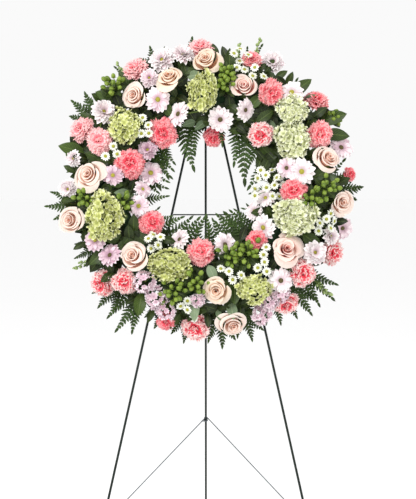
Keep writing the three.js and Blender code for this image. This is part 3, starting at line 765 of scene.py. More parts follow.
def carnation(bloom, place, rng, petals=CARNATION_PETALS):
    for k in range(petals):
        f = (k + 0.3) / petals
        turn = k * GOLDEN_ANGLE + rng.uniform(-0.3, 0.3)
        lip_radius = (0.94 * f ** 0.55) * rng.uniform(0.88, 1.06)
        lip_height = 0.52 - 0.6 * f ** 1.9 + rng.uniform(-0.06, 0.06)
        # The first petals fold over the middle and close it, and all later ones fold away from it.
        fold_over = -0.22 if k < FOLDED_OVER else 0.2 + 0.08 * f
        blade = (0.3 + 0.16 * f) * rng.uniform(0.85, 1.15)
        waves = rng.uniform(4.5, 7.5)
        phase = rng.uniform(0, 2 * pi)
        deep = rng.uniform(0.05, 0.1)
        across = Vector((-sin(turn), cos(turn), 0))
        away = Vector((cos(turn), sin(turn), 0))

        def bend(s, t):
            column = round((s + 1) * FAN_COLUMNS / 2)
            pinked = 1 - (0.07 if column % 2 else 0) * t ** 4 - 0.14 * abs(s) ** 3
            reach = t * pinked
            fold = max(0, (reach - 0.62) / 0.38)
            out = 0.04 + (lip_radius - 0.04) * reach ** 1.3 + fold_over * fold ** 1.3
            height = -0.35 + (lip_height + 0.35) * sin(pi * reach / 2) ** 0.9 - 0.1 * f * fold ** 2
            crimp = 0.035 * sin(2.3 * waves * s + 2 * phase) * t ** 4
            ruffle = deep * sin(waves * s + phase) * t ** 2 + crimp
            out += ruffle * (0.7 - 0.3 * f)
            height += ruffle * (0.7 + 0.5 * f)
            side = s * blade * (0.25 + 0.75 * t ** 0.8)
            return place @ (away * out + across * side + Vector((0, 0, height)))

        bloom.sheet(FAN_COLUMNS, 6, bend, tone=rng.random(), heart=0.5 * rng.random())


print("petals in a carnation:", CARNATION_PETALS, "and in a small one:", SMALL_CARNATION_PETALS)

# %% [markdown]
# ## A hydrangea
# A mophead is many four-petalled florets packed on a dome. What reads is the floret: four rounded petals,
# barely overlapping, each dished. One floret is made as a small mesh and stamped over the dome along a
# golden spiral. Instances would be lighter, but a piece is one plain mesh here. Three florets with other
# seeds, noise in how far they stand out and a wobble in how they face keep the head from looking stamped.

# %% Hydrangea florets
FLORET_KINDS = 3
MOPHEAD_SLOPE = 1.6


def floret_mesh(name, seed, petals=4, blade=0.46, dish=0.25, bead=0.1):
    rng = random.Random(seed)
    bloom = Bloom()
    for k in range(petals):
        turn = 2 * pi * (k + rng.uniform(-0.1, 0.1)) / petals
        lift = rng.uniform(-0.1, 0.25)
        length = rng.uniform(0.88, 1.05)

        def bend(s, t):
            width = blade * sin(pi * min(1, 0.05 + 0.85 * t)) ** 0.6
            out = 0.05 + length * t * (1 - 0.08 * s * s)
            return spoke(turn, out, s * width, (dish + lift) * t * t + 0.18 * s * s * t)

        bloom.sheet(4, 4, bend)
    if bead:
        bloom.knob(Vector((0, 0, 0.06)), bead, 0, detail=1, tone=0.1)
    return bloom.mesh(name, merge=0.0001)


FLORETS = [floret_mesh(f"floret_{i}", seed=40 + i) for i in range(FLORET_KINDS)]


def hydrangea(bloom, place, rng, florets, size):
    for k in range(florets):
        f = (k + 0.5) / florets
        axis = slanted(MOPHEAD_SLOPE * sqrt(f), k * GOLDEN_ANGLE)
        # A mophead is lumpy: its clusters of florets stand at different depths.
        lump = 0.4 * noise.noise(axis * 1.8 + place.translation)
        stand_out = 0.95 + lump + rng.uniform(-0.08, 0.08)
        spot = Vector((axis.x * 0.86, axis.y * 0.86, axis.z * 0.62)) * stand_out
        tilt = turned(axis + jitter(rng, 0.6))
        spin = Matrix.Rotation(rng.uniform(0, 2 * pi), 4, "Z")
        grown = Matrix.Scale(size * rng.uniform(0.17, 0.24), 4)
        matrix = place @ Matrix.Translation(spot) @ tilt @ spin @ grown
        bloom.stamp(rng.choice(FLORETS), matrix, tone=rng.random(), heart=0.35 * f + 0.5 * rng.random() ** 2)


print("faces in one floret:", len(FLORETS[0].polygons))

# %% [markdown]
# ## Daisy chrysanthemums and asters
# A daisy is two ranks of strap petals round a button. The petals are the same sheet rule with a blunt tip;
# the button is a flattened ball finished as disc florets. A double daisy has four ranks, and its inner ones
# stand up and close in over the button. Asters are the same flower at less than half the size, with fewer
# faces.

# %% Daisy petals
STRAP_WIDTH = 0.2
BLUNT_FROM = 0.7


def daisy(bloom, place, rng, petals=16, ranks=2, button=0.2, grid=(3, 6), petal_slot=0, button_slot=1):
    for rank in range(ranks):
        for k in range(petals):
            turn = 2 * pi * (k + rank / 2 + rng.uniform(-0.16, 0.16)) / petals
            length = rng.uniform(0.88, 1.05) * (1 - 0.16 * rank)
            # Each inner rank stands up more, and a double flower's ranks close over its button.
            droop = rng.uniform(-0.16, 0.12) + (0.16 * rank if ranks > 2 else 0)
            blade = STRAP_WIDTH * rng.uniform(0.85, 1.1) * (1 - 0.15 * rank)

            def bend(s, t):
                # The tip is half an ellipse, so it is blunt and never a point.
                if t < BLUNT_FROM:
                    taper = 0.45 + 0.55 * sin(pi * (t / BLUNT_FROM) / 2)
                else:
                    taper = sqrt(1 - 0.9 * ((t - BLUNT_FROM) / 0.3) ** 2)
                out = 0.14 + (length - 0.14) * t * (1 - 0.04 * s * s)
                height = 0.02 + 0.07 * rank + 0.12 * sin(pi * t) + droop * t * t + 0.4 * blade * s * s * t
                return place @ spoke(turn, out, s * blade * taper, height)

            bloom.sheet(*grid, bend, tone=rng.random(), heart=0.9 * rng.random() ** 2, slot=petal_slot)
    squashed = place @ Matrix.Translation((0, 0, 0.08)) @ Matrix.Diagonal((1, 1, 0.5, 1))
    made = bmesh.ops.create_icosphere(bloom.bm, subdivisions=3 if ranks > 1 else 1, radius=button,
                                      matrix=squashed, calc_uvs=True)
    bloom.paint(made["verts"], button_slot)


print("a strap petal's width for a radius of 1:", STRAP_WIDTH)

# %% [markdown]
# ## Stock
# Stock is a spike of small crumpled florets. The spikes are pushed in deep, so only the tip of each shows,
# as a loose dome. It reuses the hydrangea's stamping, with florets of seven petals that are dished more
# deeply.

# %% Stock florets
STOCK_FLORET_COUNT = 24
STOCK_SLOPE = 1.75
STOCK_FLORETS = [floret_mesh(f"stock_floret_{i}", seed=60 + i, petals=7, blade=0.34, dish=0.55, bead=0.0)
                 for i in range(FLORET_KINDS)]


def stock(bloom, place, rng):
    for k in range(STOCK_FLORET_COUNT):
        f = (k + 0.5) / STOCK_FLORET_COUNT
        turn = k * GOLDEN_ANGLE + rng.uniform(-0.3, 0.3)
        axis = slanted(STOCK_SLOPE * sqrt(f), turn)
        spot = axis * 0.8 * rng.uniform(0.8, 1.15)
        tilt = turned(axis + jitter(rng, 0.5))
        matrix = place @ Matrix.Translation(spot) @ tilt @ Matrix.Scale(rng.uniform(0.28, 0.4), 4)
        bloom.stamp(rng.choice(STOCK_FLORETS), matrix, tone=rng.random(), heart=rng.random())


print("florets in a head of stock:", STOCK_FLORET_COUNT)

# %% [markdown]
# ## Leaves, fern fronds and berries
# Salal leaves are broad and pointed, folded a little along the midrib. A leatherleaf frond is a flat
# triangle of toothed leaflets in pairs that get shorter towards a leaf-shaped tip. One flat card cut to the
# frond's outline would be lighter, but it would look like paper from the side, so every leaflet is its own
# sheet.

# %% Leaves and fronds
def frame_along(start, direction, facing):
    forward = direction.normalized()
    side = facing.cross(forward).normalized()
    up = forward.cross(side)
    return Matrix.Translation(start) @ Matrix((side, forward, up)).transposed().to_4x4()


def leaf(bloom, start, direction, facing, length, width, rng, slot=0, grid=(6, 8), tone=None):
    place = frame_along(start, direction, facing)
    sag = rng.uniform(0.05, 0.3)
    twist = rng.uniform(-0.25, 0.25)
    wave = rng.uniform(0, 2 * pi)

    def bend(s, t):
        half = width / 2 * sin(pi * t ** 0.85) ** 0.75 if 0 < t < 1 else 0.3
        edge = 0.03 * length * sin(7 * t + wave) * s
        height = 0.16 * abs(s) * half - sag * length * t * t + edge + twist * s * half * t
        return place @ Vector((s * half, length * t, height))

    bloom.sheet(*grid, bend, tone=rng.random() if tone is None else tone, slot=slot)


LEAFLET_TEETH = 8
FROND_DROOP = 0.08
FROND_STALK = 0.9


def frond(bloom, start, end, width, rng, pairs=10, broad=0.42):
    along = end - start
    length = along.length
    place = frame_along(start, along, FACING)
    curve = rng.uniform(-0.06, 0.06) * length

    def spine(t):
        return Vector((curve * sin(pi * t), length * t, length * FROND_DROOP * (sin(pi * t * 0.9) - t * 0.3)))

    steps = [0.02, 0.35, 0.7, 0.97]
    for first, last in zip(steps, steps[1:]):
        bloom.stalk(place @ spine(first), place @ spine(last), FROND_STALK, 1, tip_size=0.7, sides=4)
    for k in range(pairs):
        t = 0.12 + 0.86 * k / (pairs - 1)
        reach = width / 2 * (1.04 - t) ** 0.85 * min(1, 0.5 + 3 * t) * rng.uniform(0.85, 1.08)
        for side in (-1, 1):
            root = spine(t)
            slope = radians(24 + 26 * t) + rng.uniform(-0.08, 0.08)
            out = Vector((side * cos(slope), sin(slope), rng.uniform(-0.12, 0.02))).normalized()
            across = Vector((-side * sin(slope), cos(slope), 0))
            leaflet = length / pairs * broad

            def bend(s, v):
                # The edge is cut into teeth, and the leaflet is widest near its foot and pointed at its tip.
                tooth = 0.8 if round(v * LEAFLET_TEETH) % 2 else 1.0
                half = leaflet * min(1, 0.6 + 3 * v) * (1 - v) ** 0.55 * tooth if v < 1 else 0.1
                fold = Vector((0, 0, 1.2 * abs(s) - 2 * v * v))
                return place @ (root + out * (reach * v) + across * (s * half) + fold)

            bloom.sheet(2, LEAFLET_TEETH, bend, tone=rng.random())
    tip = place.to_3x3() @ (spine(1.0) - spine(0.9)).normalized()
    leaf(bloom, place @ spine(0.93), tip, FACING, 1.8 * length / pairs, 0.7 * length / pairs, rng,
         grid=(2, 4))


print("teeth along a fern leaflet:", LEAFLET_TEETH)

# %% [markdown]
# Hypericum berries are egg shaped, in loose clusters over a ring of leaves. Each ends in the dried point of
# its flower and sits on four small sepals. Plain balls would read as peas, so the point and sepals are
# worth making.

# %% Berry clusters
BERRY_COUNT = 15
BERRY_SLOPE = 1.35
BERRY_STRETCH = 1.25
COLLAR_LEAVES = 6
SEPALS = 4
SEPAL_LENGTH = 8
SEPAL_WIDTH = 5


def berry_cluster(bloom, place, rng, count=BERRY_COUNT):
    radius = place.to_scale().x
    for k in range(COLLAR_LEAVES):
        axis = (place @ Vector((cos(k * pi / 3), sin(k * pi / 3), 0.45)) - place.translation).normalized()
        leaf(bloom, place @ Vector((0, 0, -0.3)), axis, FACING, radius * rng.uniform(1.0, 1.35),
             radius * rng.uniform(0.45, 0.6), rng, slot=2, tone=0.3 * rng.random())
    for k in range(count):
        turn = k * GOLDEN_ANGLE + rng.uniform(-0.5, 0.5)
        axis = slanted(BERRY_SLOPE * sqrt((k + 0.5) / count), turn)
        spot = place @ (axis * rng.uniform(0.5, 1.15))
        outward = (spot - place.translation).normalized()
        size = rng.uniform(5.4, 6.8)
        bloom.knob(spot, size, 0, stretch=BERRY_STRETCH, tone=rng.random(), axis=outward)
        bloom.knob(spot + outward * size * 1.2, 1.0, 1, detail=1, axis=outward)
        bloom.stalk(place @ Vector((0, 0, -0.4)), spot, 0.9, 1, sides=4)
        for j in range(SEPALS):
            around = Matrix.Rotation(j * pi / 2 + turn, 3, outward) @ outward.orthogonal().normalized()
            leaf(bloom, spot - outward * size, around + outward * 0.35, outward, SEPAL_LENGTH, SEPAL_WIDTH,
                 rng, slot=1, grid=(2, 3))


print("berries in the big cluster:", BERRY_COUNT)

# %% [markdown]
# ## Planting the heads
# Each planned bloom becomes one piece that stands for its solid: stem, calyx and petals together. First the
# roses. They don't all look straight out: each leans towards a clock angle by an amount, and some are
# further open than the rest. Every bloom has its own seed, so changing one leaves the others as they are.

# %% Plant the roses
ROSE_TYPES = {3: ROSE_PEACH, 11: ROSE_PEACH, 2: ROSE_PEACH, 4: ROSE_PINK, 10: ROSE_PINK}
HALF_OPEN = 0.62
OPEN_ROSES = {10: 1.0, 11: 0.85, 2: 0.75, 5: 0.8, 8: 0.75}
ROSE_FACES = [
    (275, 0.4), (350, 0.3), (270, 0.35), (285, 0.2), (300, 0.25), (90, 0.15), (330, 0.25), (60, 0.25),
    (270, 0.2), (0, 0.25), (250, 0.25), (170, 0.12),
]


def start_bloom(seed, spray, stem_slot):
    bloom = Bloom()
    return bloom, stems(bloom, spray, stem_slot), random.Random(seed)


for number, spray in enumerate(roses, 1):
    bloom, fork, rng = start_bloom(100 + number, spray, 1)
    place = lean(head_place(spray[0], fork, rng, swell=1.06), *ROSE_FACES[number - 1])
    rose(bloom, place, rng, openness=OPEN_ROSES.get(number, HALF_OPEN))
    calyx(bloom, place, 1, depth=0.75)
    plant(f"rose_bloom_{number}", bloom, [ROSE_TYPES.get(number, ROSE), STEM],
          [f"rose_{number}"])
print("roses planted:", len(roses))

# %% [markdown]
# Hydrangea heads are soft, so their neighbours squeeze them out of round. A scaling about the middle of the
# head does the same, across the ring and up it. The wide heads carry more florets and the cream ones larger
# florets.

# %% Plant the hydrangeas
CREAM_HYDRANGEAS = {4, 7, 3}
FULL_HYDRANGEAS = {2: 0.98, 3: 1.1, 4: 1.14, 7: 1.12}
SQUEEZED = {2: (0.76, 1.1), 5: (0.92, 1.1), 6: (1.02, 0.78), 7: (1.04, 0.86), 8: (1.08, 0.86)}
WIDE_RADIUS = 45
WIDE_FLORETS = 112
NARROW_FLORETS = 84

for number, spray in enumerate(hydrangeas, 1):
    bloom, fork, rng = start_bloom(200 + number, spray, 1)
    place = head_place(spray[0], fork, rng, swell=FULL_HYDRANGEAS.get(number, 1.06))
    squeeze = Matrix.Diagonal((*SQUEEZED.get(number, (1, 1)), 1, 1))
    cream = number in CREAM_HYDRANGEAS
    florets = WIDE_FLORETS if spray[0].radius > WIDE_RADIUS else NARROW_FLORETS
    hydrangea(bloom, about(spray[0].centre, squeeze) @ place, rng, florets, size=1.2 if cream else 1.0)
    plant(f"hydrangea_bloom_{number}", bloom, [HYDRANGEA_CREAM if cream else HYDRANGEA, STEM],
          [f"hydrangea_{number}"])
print("hydrangeas planted:", len(hydrangeas))

# %% [markdown]
# Carnations stand on long tubular calyxes and come in four shades of coral. One function grows the head
# with its calyx, because the small carnations below need the same.

# %% Plant the carnations
CARNATION_TYPES = {
    1: CARNATION_PALE, 3: CARNATION_PALE, 4: CARNATION_PALE,
    2: CARNATION_PINK, 10: CARNATION_PINK, 13: CARNATION_PINK,
    7: CARNATION_EDGED, 8: CARNATION_EDGED, 11: CARNATION_EDGED, 12: CARNATION_EDGED, 14: CARNATION_EDGED,
}


def carnation_head(bloom, head, fork, rng, petals=CARNATION_PETALS):
    place = head_place(head, fork, rng, swell=1.1, to_viewer=0.5)
    carnation(bloom, place, rng, petals)
    calyx(bloom, place, 1, rim=0.22, depth=0.62)


for number, spray in enumerate(carnations, 1):
    bloom, fork, rng = start_bloom(300 + number, spray, 1)
    for head in spray:
        carnation_head(bloom, head, fork, rng)
    plant(f"carnation_bloom_{number}", bloom, [CARNATION_TYPES.get(number, CARNATION), STEM],
          [f"carnation_{number}"])
print("carnation heads planted:", sum(len(spray) for spray in carnations))

# %% [markdown]
# Daisy mums come as sprays of two or three heads. Most are white with a green or dark button, and the two
# sprays at the upper left are double. Thin stems let the heads turn further from their own direction than
# the big blooms.

# %% Plant the daisy mums
MUM_TYPES = {1: (MUM_WHITE, DISC_GREEN), 2: (MUM_WHITE, DISC_GREEN), 3: (MUM, DISC_GREEN),
             4: (MUM_WHITE, DISC_GREEN), 5: (MUM_WHITE, DISC_DARK), 6: (MUM_WHITE, DISC_DARK)}
DOUBLE_SPRAYS = {1, 2}
SINGLE_RANKS = 2
DOUBLE_RANKS = 4

for number, spray in enumerate(mums, 1):
    bloom, fork, rng = start_bloom(400 + number, spray, 2)
    double = number in DOUBLE_SPRAYS
    for head in spray:
        place = head_place(head, fork, rng, swell=1.32 if double else 1.2, to_viewer=0.5, stray=0.3)
        daisy(bloom, place, rng, ranks=DOUBLE_RANKS if double else SINGLE_RANKS)
        calyx(bloom, place, 2, rim=0.2, depth=0.16, sepals=8)
    plant(f"mum_bloom_{number}", bloom, [*MUM_TYPES[number], STEM], [f"mum_spray_{number}"])
print("daisy mums planted:", sum(len(spray) for spray in mums))

# %% [markdown]
# The one berry cluster with a solid of its own stands at the upper left rim. Its berries, leaves and stalks
# are one piece, because the solid holds them together too.

# %% Plant the big berry cluster
bloom, fork, rng = start_bloom(500, berry_spray, 1)
berry_cluster(bloom, head_place(berry_spray[0], fork, rng, swell=1.15), rng)
plant("hypericum_cluster", bloom, [BERRY, STEM, SALAL], ["hypericum"])
print("planned blooms planted")

# %% [markdown]
# ## The smaller blooms and the greenery between them
# These have no solid of their own, so they are joined into one piece for each kind and quarter of the ring.
# That keeps the list of pieces short enough to read and to finish.

# %% Quarters
QUARTERS = ["upper_right", "lower_right", "lower_left", "upper_left"]


def quarter(clock):
    return QUARTERS[int(clock % 360 // 90)]


class Quartered:
    """One bloom for each quarter of the ring, made when first needed."""

    def __init__(self, name, materials, slot):
        self.name = name
        self.materials = materials
        self.slot = slot
        self.blooms = {}

    def at(self, clock):
        return self.blooms.setdefault(quarter(clock), Bloom())

    def plant(self):
        for place, bloom in self.blooms.items():
            plant(f"{self.name}_{place}", bloom, self.materials)
        print(self.name, "planted in quarters:", len(self.blooms))


print("a bloom at nine o'clock goes to:", quarter(270))

# %% [markdown]
# The small carnations have fewer petals, as fewer can be told apart at that size. The small daisies are
# told apart by their clock angle in the plan: some are mauve or white, some have dark buttons and some are
# double.

# %% Small carnations and daisies
MAUVE_DAISIES = {274, 242, 232, 300}
WHITE_DAISIES = {123, 113, 143, 44, 84, 28}
DARK_CENTRES = {143, 74, 80, 107, 232}
DOUBLE_DAISIES = {28, 332, 123, 113, 300}

rng = random.Random(600)
small_carnations = Quartered("small_carnations", [CARNATION, STEM], "carnation_petal")
for head in extra_carnations:
    bloom = small_carnations.at(head.clock)
    carnation_head(bloom, head, stems(bloom, [head], 1), rng, petals=SMALL_CARNATION_PETALS)
small_carnations.plant()

small_mums = Quartered("small_daisies", [MUM, DISC_GREEN, STEM, MUM_MAUVE, MUM_WHITE, DISC_DARK], "mum_petal")
for head in extra_mums:
    bloom = small_mums.at(head.clock)
    place = head_place(head, stems(bloom, [head], 2), rng, swell=1.25, to_viewer=0.6, stray=0.35)
    petal_slot = 3 if head.clock in MAUVE_DAISIES else 4 if head.clock in WHITE_DAISIES else 0
    daisy(bloom, place, rng, ranks=DOUBLE_RANKS if head.clock in DOUBLE_DAISIES else SINGLE_RANKS,
          petal_slot=petal_slot, button_slot=5 if head.clock in DARK_CENTRES else 1)
small_mums.plant()

# %% [markdown]
# The small clusters carry one berry for every four millimetres of their width, so they are as dense as the
# big one. The stock stands along the lower part of the ring, left and right, where pale flowers lighten it.

# %% Small berry clusters and stock
BERRIES_PER_MM = 0.5
small_berries = Quartered("berry_clusters", [BERRY, STEM, SALAL], "berry_skin")
for head in extra_berries:
    bloom = small_berries.at(head.clock)
    place = head_place(head, stems(bloom, [head], 1), rng, swell=1.2)
    berry_cluster(bloom, place, rng, count=round(head.radius * BERRIES_PER_MM))
small_berries.plant()

stock_spikes = Quartered("stock_spikes", [STOCK, STEM], "mum_petal")
for head in stocks:
    bloom = stock_spikes.at(head.clock)
    stock(bloom, head_place(head, stems(bloom, [head], 1), rng), rng)
stock_spikes.plant()

# %% [markdown]
# White asters are sprays of small daisies, 24 mm across, on thread stems. They fill gaps, so each spray
# scatters its flowers round one spot and keeps those that stay clear of the heads. A row holds the spray's
# clock angle, its distance, how widely it scatters and how many flowers it has.

# %% Aster sprays
ASTER_SPRAYS = [
    (310, 221, 60, 9), (289, 257, 44, 4), (302, 127, 30, 4), (15, 343, 70, 6), (25, 327, 30, 3),
    (91, 169, 80, 14), (219, 205, 48, 6), (110, 327, 36, 4), (105, 343, 30, 3), (144, 238, 40, 4),
    (147, 264, 30, 3), (167, 247, 36, 4), (161, 259, 30, 3), (159, 104, 24, 2), (190, 330, 30, 3),
    (185, 363, 24, 2),
]
ASTER_RADIUS = 12
ASTER_RISE = 8
TRIES = 12
asters = Quartered("aster_sprays", [ASTER, DISC_YELLOW, STEM], "mum_petal")
placed = planned + extras
aster_count = 0
rng = random.Random(700)


def crowded(spot):
    return any((spot - other.centre).length < other.radius * 0.92 + ASTER_RADIUS * 0.7 for other in placed)


for clock, distance, spread, count in ASTER_SPRAYS:
    middle = on_ring(clock, distance, dome_height(distance) + ASTER_RISE)
    bloom = asters.at(clock)
    root = stem_end(middle)
    made = 0
    for _ in range(count * TRIES):
        if made == count:
            break
        spot = middle + Vector((rng.uniform(-1, 1), rng.uniform(-1, 1), rng.uniform(-0.2, 0.35))) * spread / 2
        if crowded(spot):
            continue
        head = Head(clock, distance, 2 * ASTER_RADIUS)
        head.centre = spot
        placed.append(head)
        daisy(bloom, head_place(head, root, rng, stray=0.4), rng,
              petals=13, ranks=1, button=0.38, grid=(2, 3))
        bloom.stalk(root.lerp(middle, 0.6), spot, 0.8, 2, sides=4)
        made += 1
    aster_count += made
asters.plant()
print("aster flowers:", aster_count)

# %% [markdown]
# What gaps are left between the heads are found by trial: points are scattered over the dome, and the one
# furthest from every bloom takes the next tuft of three leaves, deep enough to stay in the blooms' shade.
# Filling every point would bury the flowers, and placing the tufts by hand would miss gaps.

# %% Leaves in the gaps
GAP_TUFTS = 110
TRIAL_POINTS = 1800
TUFT_LEAVES = 3
TUFT_RADIUS = 20
RIM_STARTS = 335
RIM_WIDTH = 37
rng = random.Random(750)
candidates = [(rng.uniform(0, 360), rng.uniform(172, 352)) for _ in range(TRIAL_POINTS)]


def room(candidate):
    spot = on_ring(*candidate, dome_height(candidate[1]) - 8)
    return min((spot - other.centre).length - other.radius for other in placed)


gap_leaves = Quartered("gap_leaves", [SALAL, EUCALYPTUS], "leaf")
for _ in range(GAP_TUFTS):
    clock, distance = max(candidates, key=room)
    gap = room((clock, distance))
    head = Head(clock, distance, 2 * min(TUFT_RADIUS, gap + 6))
    placed.append(head)
    # At the rim the tufts sit deeper and shorter, so that they back the outer blooms and never cover them.
    rim = max(0, (distance - RIM_STARTS) / RIM_WIDTH)
    root = head.centre - Vector((0, 0, 26 + 30 * rim))
    for j in range(TUFT_LEAVES):
        flat = on_ring(clock + rng.uniform(-30, 30) + 120 * j, 1, 0)
        direction = flat + Vector((0, 0, rng.uniform(0.1, 0.8 - 0.5 * rim)))
        length = rng.uniform(34, 52) * (1 - 0.25 * rim)
        # Their tone may go below zero, which paints those leaves darker: painted shade deep in the gaps.
        leaf(gap_leaves.at(clock), root, direction, FACING, length,
             length * rng.uniform(0.45, 0.6), rng, slot=int(rng.random() < 0.08), tone=rng.uniform(-0.4, 0.5))
gap_leaves.plant()
print("tufts in the gaps:", GAP_TUFTS)

# %% [markdown]
# The greenery goes in first on a real wreath: leatherleaf and salal pushed into the foam's sides until
# nothing of the tray shows. The planned branches stand out past the blooms and have solids. Each row holds
# the clock angles that the branch's stems may start between, and then its tips: clock angle, distance,
# width and kind. A fern tip is three fronds fanned out, and a leaf tip is a pair of leaves on one stalk.

# %% Outer branches
GREENERY_SHOULDER = 314
GREENERY_ROOT = 19
GREENERY_TIP = 9
SOFT_TIPS = 1.06
GREENERY = [
    (326, 414, [(324, 395, 30, "fern"), (339, 399, 46, "fern"), (355, 400, 44, "fern"),
                (373, 388, 26, "fern"), (381, 405, 26, "fern"), (403, 372, 40, "leaf"),
                (420, 411, 52, "leaf")]),
    (90, 148, [(89, 396, 56, "fern"), (131, 424, 36, "fern"), (140, 411, 44, "fern"),
               (151, 388, 40, "fern")]),
    (164, 198, [(163, 397, 44, "fern"), (174, 400, 44, "fern"), (188, 388, 40, "fern"),
                (200, 372, 40, "fern")]),
    (213, 301, [(212, 420, 40, "fern"), (222, 400, 44, "fern"), (242, 372, 30, "fern"),
                (264, 405, 40, "fern"), (285, 385, 56, "leaf"), (304, 412, 50, "fern")]),
]


def fern_tip(bloom, start, clock, distance, width, rng):
    for offset in (-7, 0, 7):
        reach = distance * SOFT_TIPS - abs(offset) * 2.4
        tip = on_ring(clock + offset * 0.7, reach, GREENERY_TIP + 8 + offset)
        frond(bloom, start, tip, width * 2.0, rng, pairs=12, broad=0.5)


def leaf_tip(bloom, start, clock, distance, width, rng):
    end = on_ring(clock, distance, GREENERY_TIP + 6)
    along = end - start
    bloom.stalk(start, end, 1.6, 1)
    leaf(bloom, start.lerp(end, 0.15), along, FACING, along.length, width * 0.95, rng, slot=2)
    side = along.cross(FACING).normalized()
    leaf(bloom, start, along + side * 22, FACING, along.length * 0.8, width * 0.8, rng, slot=2)


for number, (first, last, tips) in enumerate(GREENERY, 1):
    rng = random.Random(800 + number)
    bloom = Bloom()
    for clock, distance, width, kind in tips:
        start = on_ring(max(first, min(last, clock)), GREENERY_SHOULDER, GREENERY_ROOT)
        grow = fern_tip if kind == "fern" else leaf_tip
        grow(bloom, start, clock, distance, width, rng)
    plant(f"outer_greenery_{number}", bloom, [FERN, STEM, SALAL], [f"greenery_{number}"])
print("outer branches planted:", len(GREENERY))

# %% [markdown]
# Under the blooms the foam's two shoulders are lined with salal and a little eucalyptus, two leaves outside
# for each one inside, and shorter leaves stand on top between the stems. They stay low, between the foam
# and the heads, where they only have to be dark and leafy. Their tone goes below zero, which paints them
# darker than the leaves in view: painted shade for the deep gaps under the blooms.

# %% Filling leaves under the blooms
FILL_LEAVES = 190
TOP_LEAVES = 60
fill = Quartered("filling_greenery", [FERN, STEM, SALAL, EUCALYPTUS], "leaf")
rng = random.Random(900)
for k in range(FILL_LEAVES):
    clock = 360 * (k + rng.random()) / FILL_LEAVES
    outward = k % 3 != 0
    distance = rng.uniform(286, 312) if outward else rng.uniform(196, 222)
    start = on_ring(clock, distance, rng.uniform(26, 62))
    way = on_ring(clock + rng.uniform(-35, 35), 1, 0).normalized() * (1 if outward else -1)
    direction = way + FACING * rng.uniform(0.1, 0.5)
    slot = 3 if rng.random() < 0.12 else 2
    length = rng.uniform(52, 78) if outward else rng.uniform(40, 58)
    # A tone below zero paints the leaf darker than any leaf in view: painted shade under the blooms.
    leaf(fill.at(clock), start, direction, FACING, length, length * rng.uniform(0.42, 0.6), rng, slot=slot,
         tone=rng.uniform(-0.45, 0.4))
for k in range(TOP_LEAVES):
    clock = 360 * (k + rng.random()) / TOP_LEAVES
    start = on_ring(clock, rng.uniform(222, 292), 51)
    direction = on_ring(rng.uniform(0, 360), 1, 0) + FACING * rng.uniform(0.3, 1.0)
    # Painted shade here too: a tone below zero paints these leaves darker.
    leaf(fill.at(clock), start, direction, FACING, rng.uniform(46, 68), rng.uniform(26, 36), rng, slot=2,
         tone=rng.uniform(-0.45, 0.3))
print("filling leaves:", FILL_LEAVES + TOP_LEAVES)

# %% [markdown]
# Fern fronds reach past both edges of the foam. Those in the hole are seen against the bright floor, so
# they are listed one by one: each row is the clock angle and distance of the root and then of the tip.

# %% Filling fronds
FILL_FRONDS = 44
FROND_WIDTH_SHARE = 0.72
INNER_FRONDS = [
    (341, 186, 326, 58), (352, 190, 342, 92), (28, 190, 52, 96), (38, 200, 84, 104), (50, 196, 66, 126),
    (306, 196, 284, 104), (300, 196, 268, 122), (282, 190, 262, 128), (240, 190, 228, 124),
    (222, 196, 204, 128), (66, 206, 92, 116), (92, 190, 100, 122), (146, 186, 146, 92),
    (154, 190, 164, 104), (120, 190, 122, 118), (176, 190, 176, 112), (318, 196, 300, 118),
    (14, 190, 22, 118), (134, 186, 136, 98), (140, 196, 152, 98), (186, 190, 192, 112),
    (164, 180, 168, 96), (128, 180, 130, 104), (196, 186, 182, 88), (206, 190, 192, 92),
    (218, 190, 204, 96), (170, 176, 178, 84), (150, 186, 158, 88), (138, 190, 144, 94),
    (230, 186, 216, 106), (124, 196, 116, 124), (306, 186, 296, 98), (296, 186, 284, 96),
    (284, 186, 276, 102), (272, 186, 266, 104), (258, 186, 254, 106), (314, 190, 306, 104),
]
for k in range(FILL_FRONDS):
    clock = 360 * (k + rng.random()) / FILL_FRONDS
    outward = k % 2 == 0
    distance = 296 if outward else 214
    start = on_ring(clock, distance, rng.uniform(36, 56))
    reach = rng.uniform(60, 86) if outward else -rng.uniform(52, 76)
    end = on_ring(clock + rng.uniform(-12, 12), distance + reach, rng.uniform(46, 84))
    frond(fill.at(clock), start, end, rng.uniform(46, 64), rng)
for from_clock, from_distance, clock, distance in INNER_FRONDS:
    start = on_ring(from_clock, from_distance, 58)
    end = on_ring(clock, distance, 84)
    frond(fill.at(from_clock), start, end, FROND_WIDTH_SHARE * (end - start).length, rng, broad=0.46)
fill.plant()
print("fronds in the hole:", len(INNER_FRONDS))

# %% [markdown]
# Long salal leaves stand between the outer heads, nearer the mourner than the filling. A row holds the
# leaf's clock angle, distance, length and width. Two of them are grey eucalyptus.

# %% Show leaves
SHOW_LEAVES = [
    (60, 372, 76, 40), (66, 362, 70, 36), (43, 356, 66, 34), (285, 352, 70, 38), (304, 318, 60, 34),
    (314, 346, 62, 32), (12, 330, 60, 30), (118, 306, 62, 34), (135, 300, 60, 32), (210, 350, 66, 34),
    (236, 330, 60, 32), (186, 322, 60, 30), (30, 250, 54, 28), (333, 220, 54, 28), (268, 236, 56, 30),
    (160, 214, 54, 28), (178, 236, 50, 26), (88, 292, 58, 30), (40, 230, 54, 28), (246, 240, 54, 30),
]
EUCALYPTUS_AT = (186, 178)
show = Quartered("show_leaves", [SALAL, STEM, EUCALYPTUS], "leaf")
rng = random.Random(1000)
for clock, distance, length, width in SHOW_LEAVES:
    start = on_ring(clock, distance - 20, dome_height(distance) - 14)
    direction = on_ring(clock + rng.uniform(-30, 30), 1, 0) + FACING * rng.uniform(0.1, 0.5)
    slot = 2 if clock in EUCALYPTUS_AT else 0
    leaf(show.at(clock), start, direction, FACING, length, width, rng, slot=slot)
show.plant()

# %% [markdown]
# Sprigs of closed buds stick out past the rim. Each is a straight stem with small egg-shaped buds on short
# side stalks, closer to the stem towards its tip.

